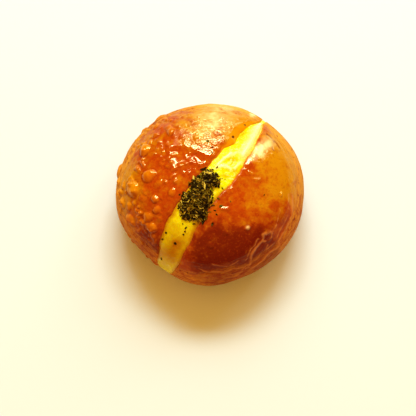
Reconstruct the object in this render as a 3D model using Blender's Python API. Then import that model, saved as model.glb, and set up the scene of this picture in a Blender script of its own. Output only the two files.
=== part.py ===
"""Egg salad bun: a round glazed roll, cut open on a slant, with its filling and a heap of parsley.

The bun stands on z = 0 with the middle of its bounding box over the origin. Two directions
describe the cut: "along" runs with it, towards the upper right seen from above, and "aside"
runs square to it, towards the left half of the bun. Lengths are in metres.
"""
import math
import random

import bmesh
import bpy
import numpy as np
from mathutils import Matrix, Vector
from mathutils.bvhtree import BVHTree

MM = 0.001

# The bun's smooth shape, before any relief.
BUN_RADIUS = 48.7 * MM
EQUATOR_HEIGHT = 19.0 * MM
CROWN_HEIGHT = 52.5 * MM
UNDERSIDE_DEPTH = 24.0 * MM
UPPER_POWER = 2.25
LOWER_POWER = 2.2
# Waves round the outline: how many, how high, and the bearing of one peak in degrees.
OUTLINE_WAVES = (
    (2, 0.88 * MM, 0.0),
    (3, 0.31 * MM, 40.0),
    (4, 0.38 * MM, 0.0),
    (5, 0.29 * MM, -24.0),
    (6, 0.29 * MM, 14.5),
)

# The cut. Each station: place along the cut, then its left and right edge on the crust.
CUT_BEARING = math.radians(57.5)
CUT_STATIONS = (
    (-58.0 * MM, 1.0 * MM, -6.0 * MM),
    (-46.0 * MM, 4.0 * MM, -7.2 * MM),
    (-31.0 * MM, 8.2 * MM, -6.4 * MM),
    (-14.0 * MM, 8.3 * MM, -5.2 * MM),
    (0.0 * MM, 7.2 * MM, -6.6 * MM),
    (10.0 * MM, 5.2 * MM, -8.4 * MM),
    (20.5 * MM, 3.7 * MM, -7.8 * MM),
    (25.0 * MM, 1.8 * MM, -7.8 * MM),
    (34.0 * MM, 1.8 * MM, -7.0 * MM),
    (45.0 * MM, -2.3 * MM, -4.6 * MM),
    (50.0 * MM, -3.0 * MM, -4.4 * MM),
    (58.0 * MM, -3.2 * MM, -4.6 * MM),
)
CUT_FLOOR_HEIGHT = 14.0 * MM
CUT_FLOOR_HALF_WIDTH = 1.6 * MM
CUT_TOP_HEIGHT = 62.0 * MM
CUT_STEPS_ALONG = 30
CUT_STEPS_UP = 5
FIT_GAP = 0.3 * MM

# The lips beside the cut sink towards it. The left one is broad and rolled in near its upper end.
LIP_DROP = 1.3 * MM
LIP_WIDTH = 1.9 * MM
LIP_FADE_HEIGHT = 16.0 * MM
ROLLED_LIP_PLACE = 32.0 * MM
ROLLED_LIP_LENGTH = 9.0 * MM
ROLLED_LIP_DROP = 3.0 * MM
ROLLED_LIP_WIDTH = 4.8 * MM

# Hollows of the bun and its filling: place seen from above (x, y), radius and depth.
HOLLOWS = (
    (-12.5 * MM, 15.0 * MM, 10.0 * MM, 1.0 * MM),
    (34.0 * MM, -24.0 * MM, 9.0 * MM, 0.9 * MM),
    (16.0 * MM, -5.0 * MM, 9.0 * MM, 0.5 * MM),
    (29.5 * MM, 36.5 * MM, 3.0 * MM, 0.9 * MM),
)
# Large blisters in the crust: place seen from above (x, y), radius and height.
BLISTERS = (
    (-31.4 * MM, 5.8 * MM, 3.5 * MM, 1.0 * MM),
    (-39.8 * MM, 1.4 * MM, 3.3 * MM, 1.1 * MM),
    (-40.2 * MM, -1.6 * MM, 3.1 * MM, 1.0 * MM),
    (-32.0 * MM, -15.3 * MM, 2.9 * MM, 0.9 * MM),
    (-30.1 * MM, -20.6 * MM, 3.4 * MM, 1.1 * MM),
    (-41.6 * MM, -15.4 * MM, 3.4 * MM, 1.1 * MM),
    (-33.3 * MM, 20.6 * MM, 3.0 * MM, 0.9 * MM),
    (-34.9 * MM, 17.4 * MM, 2.6 * MM, 0.6 * MM),
    (-20.2 * MM, 29.0 * MM, 2.1 * MM, 0.8 * MM),
    (-28.2 * MM, -6.8 * MM, 2.4 * MM, 0.8 * MM),
    (-27.1 * MM, -12.5 * MM, 2.1 * MM, 0.7 * MM),
    (-41.9 * MM, -9.2 * MM, 2.2 * MM, 0.7 * MM),
    (-45.3 * MM, -6.6 * MM, 2.4 * MM, 0.7 * MM),
    (-47.3 * MM, 11.8 * MM, 3.6 * MM, 0.9 * MM),
    (-35.0 * MM, 34.6 * MM, 3.6 * MM, 0.9 * MM),
    (-26.5 * MM, 39.4 * MM, 3.2 * MM, 0.8 * MM),
    (10.1 * MM, -2.8 * MM, 1.8 * MM, 0.4 * MM),
    (7.6 * MM, -23.9 * MM, 1.8 * MM, 0.4 * MM),
    (0.0 * MM, -30.3 * MM, 1.9 * MM, 0.4 * MM),
    (6.6 * MM, -11.4 * MM, 2.0 * MM, 0.4 * MM),
)
SMALL_BLISTER_COUNT = 34
SMALL_BLISTER_RADIUS = (1.1 * MM, 2.0 * MM)
SMALL_BLISTER_HEIGHT = 0.35 * MM
SMALL_BLISTER_ALONG = (-38.0 * MM, 34.0 * MM)
SMALL_BLISTER_ASIDE = (11.0 * MM, 44.0 * MM)
SMALL_BLISTER_REACH = 45.0 * MM

# Wrinkles of the lower right side, each through its places seen from above.
WRINKLES = (
    ((35.3 * MM, -11.0 * MM), (34.9 * MM, -18.3 * MM), (32.2 * MM, -23.8 * MM),
     (26.4 * MM, -27.7 * MM), (23.6 * MM, -30.7 * MM), (20.2 * MM, -39.1 * MM)),
    ((42.6 * MM, -4.0 * MM), (41.8 * MM, -15.1 * MM), (37.3 * MM, -24.5 * MM),
     (35.7 * MM, -29.4 * MM), (27.0 * MM, -36.8 * MM), (21.7 * MM, -40.2 * MM)),
)
WRINKLE_HALF_WIDTH = 0.9 * MM
WRINKLE_HEIGHT = 0.6 * MM

# The filling is crowned. Its edges lie about level with the lips' edges, and it comes flush with
# the crust where the cut runs out of the bun's side.
FILLING_RECESS = 0.3 * MM
FILLING_OVER_LIP = 0.1 * MM
FILLING_END_RECESS = 0.1 * MM
FILLING_END_HEIGHT = 34.0 * MM
# Folds of the filling: half-width, height, then places seen from above.
FILLING_FOLDS = (
    (2.0 * MM, 1.3 * MM, (
        (26.5 * MM, 34.0 * MM), (21.9 * MM, 24.8 * MM), (17.6 * MM, 17.6 * MM),
    )),
    (1.0 * MM, 0.8 * MM, (
        (17.6 * MM, 12.6 * MM), (12.4 * MM, 8.3 * MM), (7.2 * MM, 9.8 * MM),
    )),
)

# The heap of dried parsley is a group of round lobes: place seen from above (x, y) and radius.
HEAP_LOBES = (
    (-0.6 * MM, 3.4 * MM, 4.2 * MM),
    (-5.1 * MM, -2.3 * MM, 5.4 * MM),
    (-3.3 * MM, -7.4 * MM, 4.2 * MM),
    (-8.9 * MM, -8.9 * MM, 4.8 * MM),
    (-6.1 * MM, -13.9 * MM, 4.6 * MM),
    (-7.2 * MM, 1.9 * MM, 1.9 * MM),
    (-13.0 * MM, -5.8 * MM, 1.8 * MM),
    (-13.9 * MM, -11.6 * MM, 2.2 * MM),
    (-12.0 * MM, -16.2 * MM, 1.8 * MM),
    (2.0 * MM, 0.8 * MM, 2.4 * MM),
)
# Every lobe is reached in a straight line from this place inside the heap.
HEAP_CENTRE = (-5.8 * MM, -4.8 * MM)
HEAP_HEIGHT = 2.1 * MM
HEAP_RIM_HEIGHT = 0.5 * MM
HEAP_RINGS = 6
HEAP_SPOKES = 36
# How far over what it lies on the heap's surface is looked up.
HEAP_GROUND_REACH = 1.0 * MM
HEAP_FLAKES = 90
HEAP_FLAKE_REACH = 1.04
# A flake's height over the core is read a little inside it, and lies in a range of its radii.
HEAP_FLAKE_INSIDE = 0.95
HEAP_FLAKE_RISE = (-0.1, 0.2)
HEAP_FLAKE_LEAN = 50.0
FLAKE_RADIUS = (0.8 * MM, 1.4 * MM)
FLAKE_THICKNESS = 0.4 * MM
FLAKE_SIDES = 5
GOLDEN_ANGLE = math.pi * (3.0 - math.sqrt(5.0))

# Loose flakes, by their place seen from above and their radius.
LOOSE_FLAKES_ON_CRUST = (
    (-1.4 * MM, 23.1 * MM, 1.3 * MM),
    (5.6 * MM, -10.8 * MM, 1.2 * MM),
    (3.4 * MM, -15.2 * MM, 0.9 * MM),
    (1.2 * MM, -20.0 * MM, 0.8 * MM),
    (10.4 * MM, -8.6 * MM, 0.7 * MM),
)
LOOSE_FLAKES_ON_FILLING = (
    (-17.9 * MM, -29.0 * MM, 1.2 * MM),
    (-22.6 * MM, -23.6 * MM, 0.8 * MM),
    (-13.4 * MM, -24.2 * MM, 0.9 * MM),
    (-25.2 * MM, -35.6 * MM, 0.8 * MM),
)
LOOSE_FLAKE_SINK = 0.25 * MM

# Fineness of the solids.
SPHERE_SUBDIVISIONS = 7
BUN_TRIANGLES = 6400
FILLING_TRIANGLES = 1300

# Colours (red, green, blue) and roughness.
CRUST_FINISH = ((0.56, 0.14, 0.01), 0.28)
FILLING_FINISH = ((0.86, 0.66, 0.02), 0.35)
PARSLEY_FINISH = ((0.035, 0.036, 0.008), 0.75)


def clear_scene():
    """Remove every object of the open scene."""
    for thing in list(bpy.data.objects):
        bpy.data.objects.remove(thing, do_unlink=True)


def make_material(name, finish):
    """Return a Principled material of one colour and roughness."""
    colour, roughness = finish
    material = bpy.data.materials.new(name)
    material.use_nodes = True
    shader = material.node_tree.nodes["Principled BSDF"]
    shader.inputs["Base Color"].default_value = (*colour, 1.0)
    shader.inputs["Roughness"].default_value = roughness
    shader.inputs["Metallic"].default_value = 0.0
    return material


def outline_radius(bearings):
    """Return the radius of the bun's widest level at each bearing."""
    radius = np.full_like(bearings, BUN_RADIUS)
    for count, height, peak in OUTLINE_WAVES:
        radius += height * np.cos(count * (bearings - math.radians(peak)))
    return radius


def outline_middle():
    """Return the middle of the outline's bounding box, which the bun is moved by."""
    bearings = np.linspace(0.0, 2.0 * math.pi, 721)
    radius = outline_radius(bearings)
    x = radius * np.cos(bearings)
    y = radius * np.sin(bearings)
    return 0.5 * (x.min() + x.max()), 0.5 * (y.min() + y.max())


def dome_points(directions):
    """Return the point of the smooth bun that each unit direction leads to."""
    flat = np.hypot(directions[:, 0], directions[:, 1])
    rise = directions[:, 2]
    upper = rise >= 0.0
    power = np.where(upper, UPPER_POWER, LOWER_POWER)
    scale = (flat ** power + np.abs(rise) ** power) ** (-1.0 / power)
    bearings = np.arctan2(directions[:, 1], directions[:, 0])
    radius = outline_radius(bearings) * flat * scale
    reach = np.where(upper, CROWN_HEIGHT - EQUATOR_HEIGHT, UNDERSIDE_DEPTH)
    middle = outline_middle()
    points = np.empty_like(directions)
    points[:, 0] = radius * np.cos(bearings) - middle[0]
    points[:, 1] = radius * np.sin(bearings) - middle[1]
    points[:, 2] = EQUATOR_HEIGHT + reach * rise * scale
    return points


def dome_height(x, y):
    """Return the height of the smooth bun over a place."""
    middle = outline_middle()
    x = np.asarray(x, float) + middle[0]
    y = np.asarray(y, float) + middle[1]
    share = np.hypot(x, y) / outline_radius(np.arctan2(y, x))
    rise = np.clip(1.0 - share ** UPPER_POWER, 0.0, 1.0) ** (1.0 / UPPER_POWER)
    return EQUATOR_HEIGHT + (CROWN_HEIGHT - EQUATOR_HEIGHT) * rise


def along_and_aside(x, y):
    """Return a place's two measures in the directions of the cut."""
    along = x * math.cos(CUT_BEARING) + y * math.sin(CUT_BEARING)
    aside = y * math.cos(CUT_BEARING) - x * math.sin(CUT_BEARING)
    return along, aside


def from_cut(along, aside):
    """Return x and y of a place given in the directions of the cut."""
    x = along * math.cos(CUT_BEARING) - aside * math.sin(CUT_BEARING)
    y = along * math.sin(CUT_BEARING) + aside * math.cos(CUT_BEARING)
    return x, y


def smooth_through(stations, column, places):
    """Read a smooth curve through the stations' values at the given places."""
    knots = np.array([station[0] for station in stations])
    values = np.array([station[column] for station in stations])
    slopes = np.gradient(values, knots)
    places = np.clip(places, knots[0], knots[-1])
    index = np.clip(np.searchsorted(knots, places) - 1, 0, len(knots) - 2)
    span = knots[index + 1] - knots[index]
    part = (places - knots[index]) / span
    start = values[index] * (1 + 2 * part) * (1 - part) ** 2
    start += slopes[index] * span * part * (1 - part) ** 2
    end = values[index + 1] * part ** 2 * (3 - 2 * part)
    end += slopes[index + 1] * span * part ** 2 * (part - 1)
    return start + end


def cut_edges(along):
    """Return how far aside the cut's left and right edges lie on the crust."""
    along = np.asarray(along, float)
    return smooth_through(CUT_STATIONS, 1, along), smooth_through(CUT_STATIONS, 2, along)


def bell(distance, width):
    """Return a soft bump: 1 at no distance, falling off over the width."""
    return np.exp(-(distance / width) ** 2)


def rolled_share(along):
    """Return how strongly the left lip is rolled in at a place along the cut."""
    return bell(along - ROLLED_LIP_PLACE, ROLLED_LIP_LENGTH)


def lip_drop(x, y):
    """Return how far the crust sinks beside the cut."""
    along, aside = along_and_aside(x, y)
    left, right = cut_edges(along)
    rolled = rolled_share(along)
    left_width = LIP_WIDTH + (ROLLED_LIP_WIDTH - LIP_WIDTH) * rolled
    left_drop = LIP_DROP + ROLLED_LIP_DROP * rolled
    beyond_left = np.maximum(aside - left, 0.0)
    beyond_right = np.maximum(right - aside, 0.0)
    on_left = aside > 0.5 * (left + right)
    return np.where(
        on_left,
        left_drop * np.exp(-beyond_left / left_width),
        LIP_DROP * np.exp(-beyond_right / LIP_WIDTH),
    )


def round_bump(points, centre, radius):
    """Return a flat-topped bump: 1 at the centre and 0 past the radius."""
    share = np.linalg.norm(points - centre, axis=1) / radius
    return np.clip(1.0 - share ** 2, 0.0, 1.0) ** 1.3


def on_dome(x, y):
    """Return the point of the smooth bun over a place."""
    return np.array([x, y, float(dome_height(x, y))])


def small_blisters():
    """Draw the places and sizes of the small blisters, most of them on the left half."""
    draw = random.Random(31)
    found = []
    while len(found) < SMALL_BLISTER_COUNT:
        x, y = from_cut(draw.uniform(*SMALL_BLISTER_ALONG), draw.uniform(*SMALL_BLISTER_ASIDE))
        radius = draw.uniform(*SMALL_BLISTER_RADIUS)
        if math.hypot(x, y) > SMALL_BLISTER_REACH:
            continue
        taken = BLISTERS + tuple(found)
        if all(math.hypot(x - b[0], y - b[1]) > b[2] + radius for b in taken):
            found.append((x, y, radius, SMALL_BLISTER_HEIGHT))
    return tuple(found)


def polyline_distance(points, places):
    """Return each point's distance to the line through the places on the bun."""
    line = [on_dome(x, y) for x, y in places]
    nearest = np.full(len(points), 1.0)
    for start, end in zip(line[:-1], line[1:]):
        step = end - start
        part = np.clip((points - start) @ step / (step @ step), 0.0, 1.0)
        gap = np.linalg.norm(points - start - part[:, None] * step, axis=1)
        nearest = np.minimum(nearest, gap)
    return nearest


def hollow_relief(points):
    """Return how far the bun and its filling sink in their broad hollows."""
    relief = np.zeros(len(points))
    for x, y, radius, depth in HOLLOWS:
        relief -= depth * bell(np.linalg.norm(points - on_dome(x, y), axis=1), radius)
    return relief


def crust_relief(points):
    """Return how far the crust stands out from the smooth bun at each point."""
    relief = hollow_relief(points)
    for x, y, radius, height in BLISTERS + small_blisters():
        relief += height * round_bump(points, on_dome(x, y), radius)
    for places in WRINKLES:
        relief += WRINKLE_HEIGHT * bell(polyline_distance(points, places), WRINKLE_HALF_WIDTH)
    return relief


def filling_relief(points):
    """Return how far the filling stands out from the smooth bun, before the lips' sinking."""
    along, aside = along_and_aside(points[:, 0], points[:, 1])
    on_top = np.clip((points[:, 2] - EQUATOR_HEIGHT) / (FILLING_END_HEIGHT - EQUATOR_HEIGHT), 0, 1)
    left, right = cut_edges(along)
    edge_share = np.clip((2.0 * aside - left - right) / (left - right), -1.0, 1.0)
    inside = 1.0 - edge_share ** 4
    relief = np.zeros(len(points))
    for half_width, height, places in FILLING_FOLDS:
        relief += height * inside * bell(polyline_distance(points, places), half_width)
    return hollow_relief(points) + relief * on_top - FILLING_END_RECESS * (1.0 - on_top)


def filling_drop(x, y):
    """Return how far the filling sinks towards the edges of the cut."""
    along, aside = along_and_aside(x, y)
    left, right = cut_edges(along)
    edge_share = np.clip((2.0 * aside - left - right) / (left - right), -1.0, 1.0)
    edge_depth = LIP_DROP - FILLING_OVER_LIP - FILLING_RECESS
    rolled = ROLLED_LIP_DROP * rolled_share(along) * np.maximum(edge_share, 0.0) ** 2
    return FILLING_RECESS + edge_depth * np.abs(edge_share) ** 3 + rolled


def as_object(name, body, material):
    """Turn a bmesh into a named object of one material."""
    mesh = bpy.data.meshes.new(name)
    body.to_mesh(mesh)
    body.free()
    mesh.materials.append(material)
    thing = bpy.data.objects.new(name, mesh)
    bpy.context.scene.collection.objects.link(thing)
    return thing


def body_points(body):
    """Return the places of a bmesh's points as an array."""
    return np.array([vertex.co[:] for vertex in body.verts])


def set_body_points(body, points):
    """Move a bmesh's points to the places of an array."""
    for vertex, place in zip(body.verts, points):
        vertex.co = place
    body.normal_update()


def make_dome(name, material, relief_of, drop_of):
    """Return a closed bun shape with relief along its normals and a drop, flat underneath."""
    ball = bmesh.new()
    bmesh.ops.create_icosphere(ball, subdivisions=SPHERE_SUBDIVISIONS, radius=1.0)
    points = dome_points(body_points(ball))
    set_body_points(ball, points)
    normals = np.array([vertex.normal[:] for vertex in ball.verts])
    points = points + normals * relief_of(points)[:, None]
    fade = np.clip((points[:, 2] - EQUATOR_HEIGHT) / LIP_FADE_HEIGHT, 0.0, 1.0)
    points[:, 2] -= drop_of(points[:, 0], points[:, 1]) * fade
    points[:, 2] = np.maximum(points[:, 2], 0.0)
    set_body_points(ball, points)
    return as_object(name, ball, material)


def make_wedge(name, material, inset):
    """Return the solid of the cut, drawn in from its walls and floor by the inset."""
    body = bmesh.new()
    loops = []
    for along in np.linspace(CUT_STATIONS[0][0], CUT_STATIONS[-1][0], CUT_STEPS_ALONG + 1):
        left, right = (float(edge) for edge in cut_edges(along))
        middle = 0.5 * (left + right)
        surface = float(dome_height(*from_cut(along, middle)))
        depth = max(surface - CUT_FLOOR_HEIGHT, 10.0 * MM)
        left_side = []
        right_side = []
        for step in range(CUT_STEPS_UP + 1):
            share = step / CUT_STEPS_UP
            height = CUT_FLOOR_HEIGHT + (CUT_TOP_HEIGHT - CUT_FLOOR_HEIGHT) * share
            opened = (height - CUT_FLOOR_HEIGHT) / depth
            half_floor = CUT_FLOOR_HALF_WIDTH
            to_left = half_floor + (left - middle - half_floor) * opened
            to_right = half_floor + (middle - right - half_floor) * opened
            raised = height + (inset if step == 0 else 0.0)
            left_side.append((along, middle + to_left - inset, raised))
            right_side.append((along, middle - to_right + inset, raised))
        section = left_side + right_side[::-1]
        loops.append([body.verts.new((*from_cut(a, b), z)) for a, b, z in section])
    for before, after in zip(loops[:-1], loops[1:]):
        for index, vertex in enumerate(before):
            following = (index + 1) % len(before)
            body.faces.new((vertex, before[following], after[following], after[index]))
    body.faces.new(loops[0][::-1])
    body.faces.new(loops[-1])
    bmesh.ops.recalc_face_normals(body, faces=body.faces)
    return as_object(name, body, material)


def settle(thing):
    """Apply an object's modifiers."""
    depsgraph = bpy.context.evaluated_depsgraph_get()
    mesh = bpy.data.meshes.new_from_object(thing.evaluated_get(depsgraph))
    thing.modifiers.clear()
    old = thing.data
    name = thing.name
    thing.data = mesh
    bpy.data.meshes.remove(old)
    mesh.name = name


def combine(thing, operation, other):
    """Apply a Boolean with another object, then remove that object."""
    boolean = thing.modifiers.new("combine", "BOOLEAN")
    boolean.operation = operation
    boolean.object = other
    settle(thing)
    bpy.data.objects.remove(other, do_unlink=True)


def thin_out(thing, triangles):
    """Lower an object to about the given number of triangles."""
    mesh = thing.data
    mesh.calc_loop_triangles()
    decimate = thing.modifiers.new("thin_out", "DECIMATE")
    decimate.ratio = min(1.0, triangles / len(mesh.loop_triangles))
    settle(thing)


def keep_largest(thing):
    """Drop loose scraps and sealed hollows, which are apart from the main surface."""
    body = bmesh.new()
    body.from_mesh(thing.data)
    unseen = set(body.verts)
    pieces = []
    while unseen:
        piece = {unseen.pop()}
        edge_of_piece = list(piece)
        while edge_of_piece:
            vertex = edge_of_piece.pop()
            for edge in vertex.link_edges:
                other = edge.other_vert(vertex)
                if other in unseen:
                    unseen.discard(other)
                    piece.add(other)
                    edge_of_piece.append(other)
        pieces.append(piece)
    pieces.sort(key=len)
    scraps = [vertex for piece in pieces[:-1] for vertex in piece]
    bmesh.ops.delete(body, geom=scraps, context="VERTS")
    body.to_mesh(thing.data)
    body.free()


def top_finder(things):
    """Return a function giving the highest surface of the objects near a place."""
    depsgraph = bpy.context.evaluated_depsgraph_get()
    trees = [BVHTree.FromObject(thing, depsgraph) for thing in things]
    sky = 0.1

    def top(x, y, reach):
        heights = []
        for dx in (-reach, 0.0, reach):
            for dy in (-reach, 0.0, reach):
                for tree in trees:
                    hit = tree.ray_cast(Vector((x + dx, y + dy, sky)), Vector((0.0, 0.0, -1.0)))
                    if hit[0] is not None:
                        heights.append(hit[0].z)
        return max(heights)

    return top


def make_flake(centre, radius, tilt, material, draw):
    """Return one small plate with few sides."""
    body = bmesh.new()
    lower = []
    upper = []
    start = draw.uniform(0.0, 2.0 * math.pi)
    for side in range(FLAKE_SIDES):
        angle = start + 2.0 * math.pi * side / FLAKE_SIDES
        reach = radius * draw.uniform(0.75, 1.15)
        x, y = reach * math.cos(angle), reach * math.sin(angle)
        lower.append(body.verts.new((x, y, -0.5 * FLAKE_THICKNESS)))
        upper.append(body.verts.new((x, y, 0.5 * FLAKE_THICKNESS)))
    for side in range(FLAKE_SIDES):
        after = (side + 1) % FLAKE_SIDES
        body.faces.new((lower[side], lower[after], upper[after], upper[side]))
    body.faces.new(lower[::-1])
    body.faces.new(upper)
    bmesh.ops.transform(body, matrix=Matrix.Translation(centre) @ tilt, verts=body.verts)
    return as_object("flake", body, material)


def random_tilt(draw, most):
    """Return a turn about the upright and a lean of at most the given degrees."""
    turn = Matrix.Rotation(draw.uniform(0.0, 2.0 * math.pi), 4, "Z")
    lean = Matrix.Rotation(math.radians(draw.uniform(0.0, most)), 4, "X")
    return turn @ lean


def lean_with(x, y):
    """Return the turn that lays an upright thing on the smooth bun over a place."""
    reach = 1.0 * MM
    slope_x = float(dome_height(x + reach, y) - dome_height(x - reach, y)) / (2.0 * reach)
    slope_y = float(dome_height(x, y + reach) - dome_height(x, y - reach)) / (2.0 * reach)
    normal = Vector((-slope_x, -slope_y, 1.0)).normalized()
    return Vector((0.0, 0.0, 1.0)).rotation_difference(normal).to_matrix().to_4x4()


def fuse(thing, pieces):
    """Join small pieces to an object with one Boolean union, and remove them."""
    group = bpy.data.collections.new("pieces")
    bpy.context.scene.collection.children.link(group)
    for piece in pieces:
        bpy.context.scene.collection.objects.unlink(piece)
        group.objects.link(piece)
    union = thing.modifiers.new("fuse", "BOOLEAN")
    union.operation = "UNION"
    union.operand_type = "COLLECTION"
    union.collection = group
    settle(thing)
    for piece in pieces:
        bpy.data.objects.remove(piece, do_unlink=True)
    bpy.data.collections.remove(group)
    keep_largest(thing)


def add_loose_flakes(thing, places, material, draw):
    """Fuse single flakes to the surface that they lie on."""
    top = top_finder([thing])
    flakes = []
    for x, y, radius in places:
        height = top(x, y, 0.0) + 0.5 * FLAKE_THICKNESS - LOOSE_FLAKE_SINK
        flakes.append(make_flake((x, y, height), radius, lean_with(x, y), material, draw))
    fuse(thing, flakes)


def heap_place(share, angle):
    """Return x and y of a place in the heap, from its share of the way out and its bearing."""
    reach = 0.0
    for lobe_x, lobe_y, radius in HEAP_LOBES:
        x = lobe_x - HEAP_CENTRE[0]
        y = lobe_y - HEAP_CENTRE[1]
        onward = x * math.cos(angle) + y * math.sin(angle)
        beside = y * math.cos(angle) - x * math.sin(angle)
        if abs(beside) < radius:
            reach = max(reach, onward + math.sqrt(radius ** 2 - beside ** 2))
    x = HEAP_CENTRE[0] + share * reach * math.cos(angle)
    y = HEAP_CENTRE[1] + share * reach * math.sin(angle)
    return x, y


def heap_thickness(x, y, draw):
    """Return how thick the heap's core is over a place: as high as its highest lobe there."""
    rise = 0.0
    for lobe_x, lobe_y, radius in HEAP_LOBES:
        share = math.hypot(x - lobe_x, y - lobe_y) / radius
        rise = max(rise, math.sqrt(radius / HEAP_LOBES[1][2] * max(0.0, 1.0 - share ** 2)))
    return HEAP_RIM_HEIGHT + (HEAP_HEIGHT - HEAP_RIM_HEIGHT) * rise * draw.uniform(0.75, 1.1)


def make_heap_core(material, top, draw):
    """Return the heap's bumpy core, whose underside follows what it lies on."""
    body = bmesh.new()
    layers = []
    for is_upper in (False, True):
        x, y = heap_place(0.0, 0.0)
        ground = top(x, y, HEAP_GROUND_REACH) + FIT_GAP
        middle = body.verts.new((x, y, ground + (HEAP_HEIGHT if is_upper else 0.0)))
        rings = []
        for ring in range(1, HEAP_RINGS + 1):
            share = ring / HEAP_RINGS
            spokes = []
            for spoke in range(HEAP_SPOKES):
                x, y = heap_place(share, 2.0 * math.pi * spoke / HEAP_SPOKES)
                height = top(x, y, HEAP_GROUND_REACH) + FIT_GAP
                if is_upper:
                    height += heap_thickness(x, y, draw)
                spokes.append(body.verts.new((x, y, height)))
            rings.append(spokes)
        for spoke in range(HEAP_SPOKES):
            after = (spoke + 1) % HEAP_SPOKES
            body.faces.new((middle, rings[0][spoke], rings[0][after]))
            for inner, outer in zip(rings[:-1], rings[1:]):
                body.faces.new((inner[spoke], outer[spoke], outer[after]))
                body.faces.new((inner[spoke], outer[after], inner[after]))
        layers.append(rings[-1])
    for spoke in range(HEAP_SPOKES):
        after = (spoke + 1) % HEAP_SPOKES
        body.faces.new((layers[0][spoke], layers[0][after], layers[1][after], layers[1][spoke]))
    bmesh.ops.recalc_face_normals(body, faces=body.faces)
    return as_object("parsley_heap", body, material)


def make_heap(material, things):
    """Return the parsley: the core with flakes standing out of it, clear of what it lies on."""
    draw = random.Random(7)
    ground = top_finder(things)
    core = make_heap_core(material, ground, draw)
    top = top_finder([core, *things])
    flakes = []
    for index in range(HEAP_FLAKES):
        share = math.sqrt((index + draw.uniform(0.2, 0.8)) / HEAP_FLAKES)
        bearing = index * GOLDEN_ANGLE
        x, y = heap_place(share * HEAP_FLAKE_REACH, bearing)
        radius = draw.uniform(*FLAKE_RADIUS)
        inner = heap_place(share * HEAP_FLAKE_INSIDE, bearing)
        height = top(*inner, 0.0) + draw.uniform(*HEAP_FLAKE_RISE) * radius
        tilt = random_tilt(draw, HEAP_FLAKE_LEAN)
        flake = make_flake((x, y, height), radius, tilt, material, draw)
        lift = max(
            ground(v.co.x, v.co.y, 0.5 * HEAP_GROUND_REACH) + FIT_GAP - v.co.z
            for v in flake.data.vertices
        )
        if lift > 0.0:
            flake.data.transform(Matrix.Translation((0.0, 0.0, lift)))
        flakes.append(flake)
    fuse(core, flakes)
    return core


def finish(thing, smooth_degrees):
    """Split faces into triangles and shade the round ones smooth."""
    body = bmesh.new()
    body.from_mesh(thing.data)
    bmesh.ops.triangulate(body, faces=body.faces)
    body.to_mesh(thing.data)
    body.free()
    thing.data.shade_smooth()
    thing.data.set_sharp_from_angle(angle=math.radians(smooth_degrees))


def make_bun(material):
    """Return the bread: the domed roll with the cut through it."""
    bun = make_dome("bun", material, crust_relief, lip_drop)
    combine(bun, "DIFFERENCE", make_wedge("cut", material, 0.0))
    keep_largest(bun)
    thin_out(bun, BUN_TRIANGLES)
    return bun


def make_filling(material):
    """Return the egg salad, which fills the cut from end to end."""
    filling = make_dome("egg_filling", material, filling_relief, filling_drop)
    combine(filling, "INTERSECT", make_wedge("cut", material, FIT_GAP))
    keep_largest(filling)
    thin_out(filling, FILLING_TRIANGLES)
    return filling


def main():
    """Build the bun, its filling and the parsley."""
    clear_scene()
    crust = make_material("crust", CRUST_FINISH)
    egg = make_material("egg_salad", FILLING_FINISH)
    parsley = make_material("parsley", PARSLEY_FINISH)
    bun = make_bun(crust)
    filling = make_filling(egg)
    heap = make_heap(parsley, [bun, filling])
    draw = random.Random(5)
    add_loose_flakes(bun, LOOSE_FLAKES_ON_CRUST, crust, draw)
    add_loose_flakes(filling, LOOSE_FLAKES_ON_FILLING, egg, draw)
    finish(bun, 50.0)
    finish(filling, 50.0)
    finish(heap, 30.0)


main()
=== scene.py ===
"""Egg salad bun: a glazed round roll cut open on a slant, with egg salad and dried parsley.

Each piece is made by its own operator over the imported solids, in metres. "Along" runs with the
cut towards its upper right end, and "aside" runs square to it, towards the left half of the bun.
"""
import itertools
import math
import random

import bmesh
import bpy
import numpy as np
from bpy.props import FloatProperty, FloatVectorProperty, IntProperty, PointerProperty
from mathutils import Matrix, Vector
from mathutils.bvhtree import BVHTree


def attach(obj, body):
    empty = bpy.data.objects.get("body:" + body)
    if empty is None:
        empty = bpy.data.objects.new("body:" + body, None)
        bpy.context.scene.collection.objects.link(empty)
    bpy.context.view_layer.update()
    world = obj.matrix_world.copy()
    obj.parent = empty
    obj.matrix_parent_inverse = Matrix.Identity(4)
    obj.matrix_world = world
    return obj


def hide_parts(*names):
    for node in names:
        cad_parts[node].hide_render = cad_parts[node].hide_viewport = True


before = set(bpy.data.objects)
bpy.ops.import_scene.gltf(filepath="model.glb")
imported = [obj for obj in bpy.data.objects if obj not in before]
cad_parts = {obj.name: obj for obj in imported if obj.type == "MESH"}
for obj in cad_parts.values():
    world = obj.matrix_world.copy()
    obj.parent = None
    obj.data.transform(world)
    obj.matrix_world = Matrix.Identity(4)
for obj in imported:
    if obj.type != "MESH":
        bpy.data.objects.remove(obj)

bl_info = {
    "name": "Egg Salad Bun",
    "version": (1, 0, 0),
    "blender": (4, 5, 0),
    "location": "View3D > Sidebar > Egg Bun",
    "description": "Makes a glazed roll filled with egg salad under a heap of dried parsley",
    "category": "Add Mesh",
}

MM = 0.001


def in_metres(lengths, rows):
    """Return rows whose first numbers, that many lengths in millimetres, become metres."""
    return tuple(tuple(value * MM for value in row[:lengths]) + row[lengths:] for row in rows)


def lines_in_metres(rows):
    """Return rows of half-width, height, paleness and places, with millimetres as metres."""
    return tuple(
        (half_width * MM, height * MM, paleness, in_metres(2, places))
        for half_width, height, paleness, places in rows
    )


# The bun's smooth shape, before any relief.
BUN_RADIUS = 48.7 * MM
EQUATOR_HEIGHT = 19.0 * MM
CROWN_HEIGHT = 52.5 * MM
UNDERSIDE_DEPTH = 24.0 * MM
UPPER_POWER = 2.25
LOWER_POWER = 2.2
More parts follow.
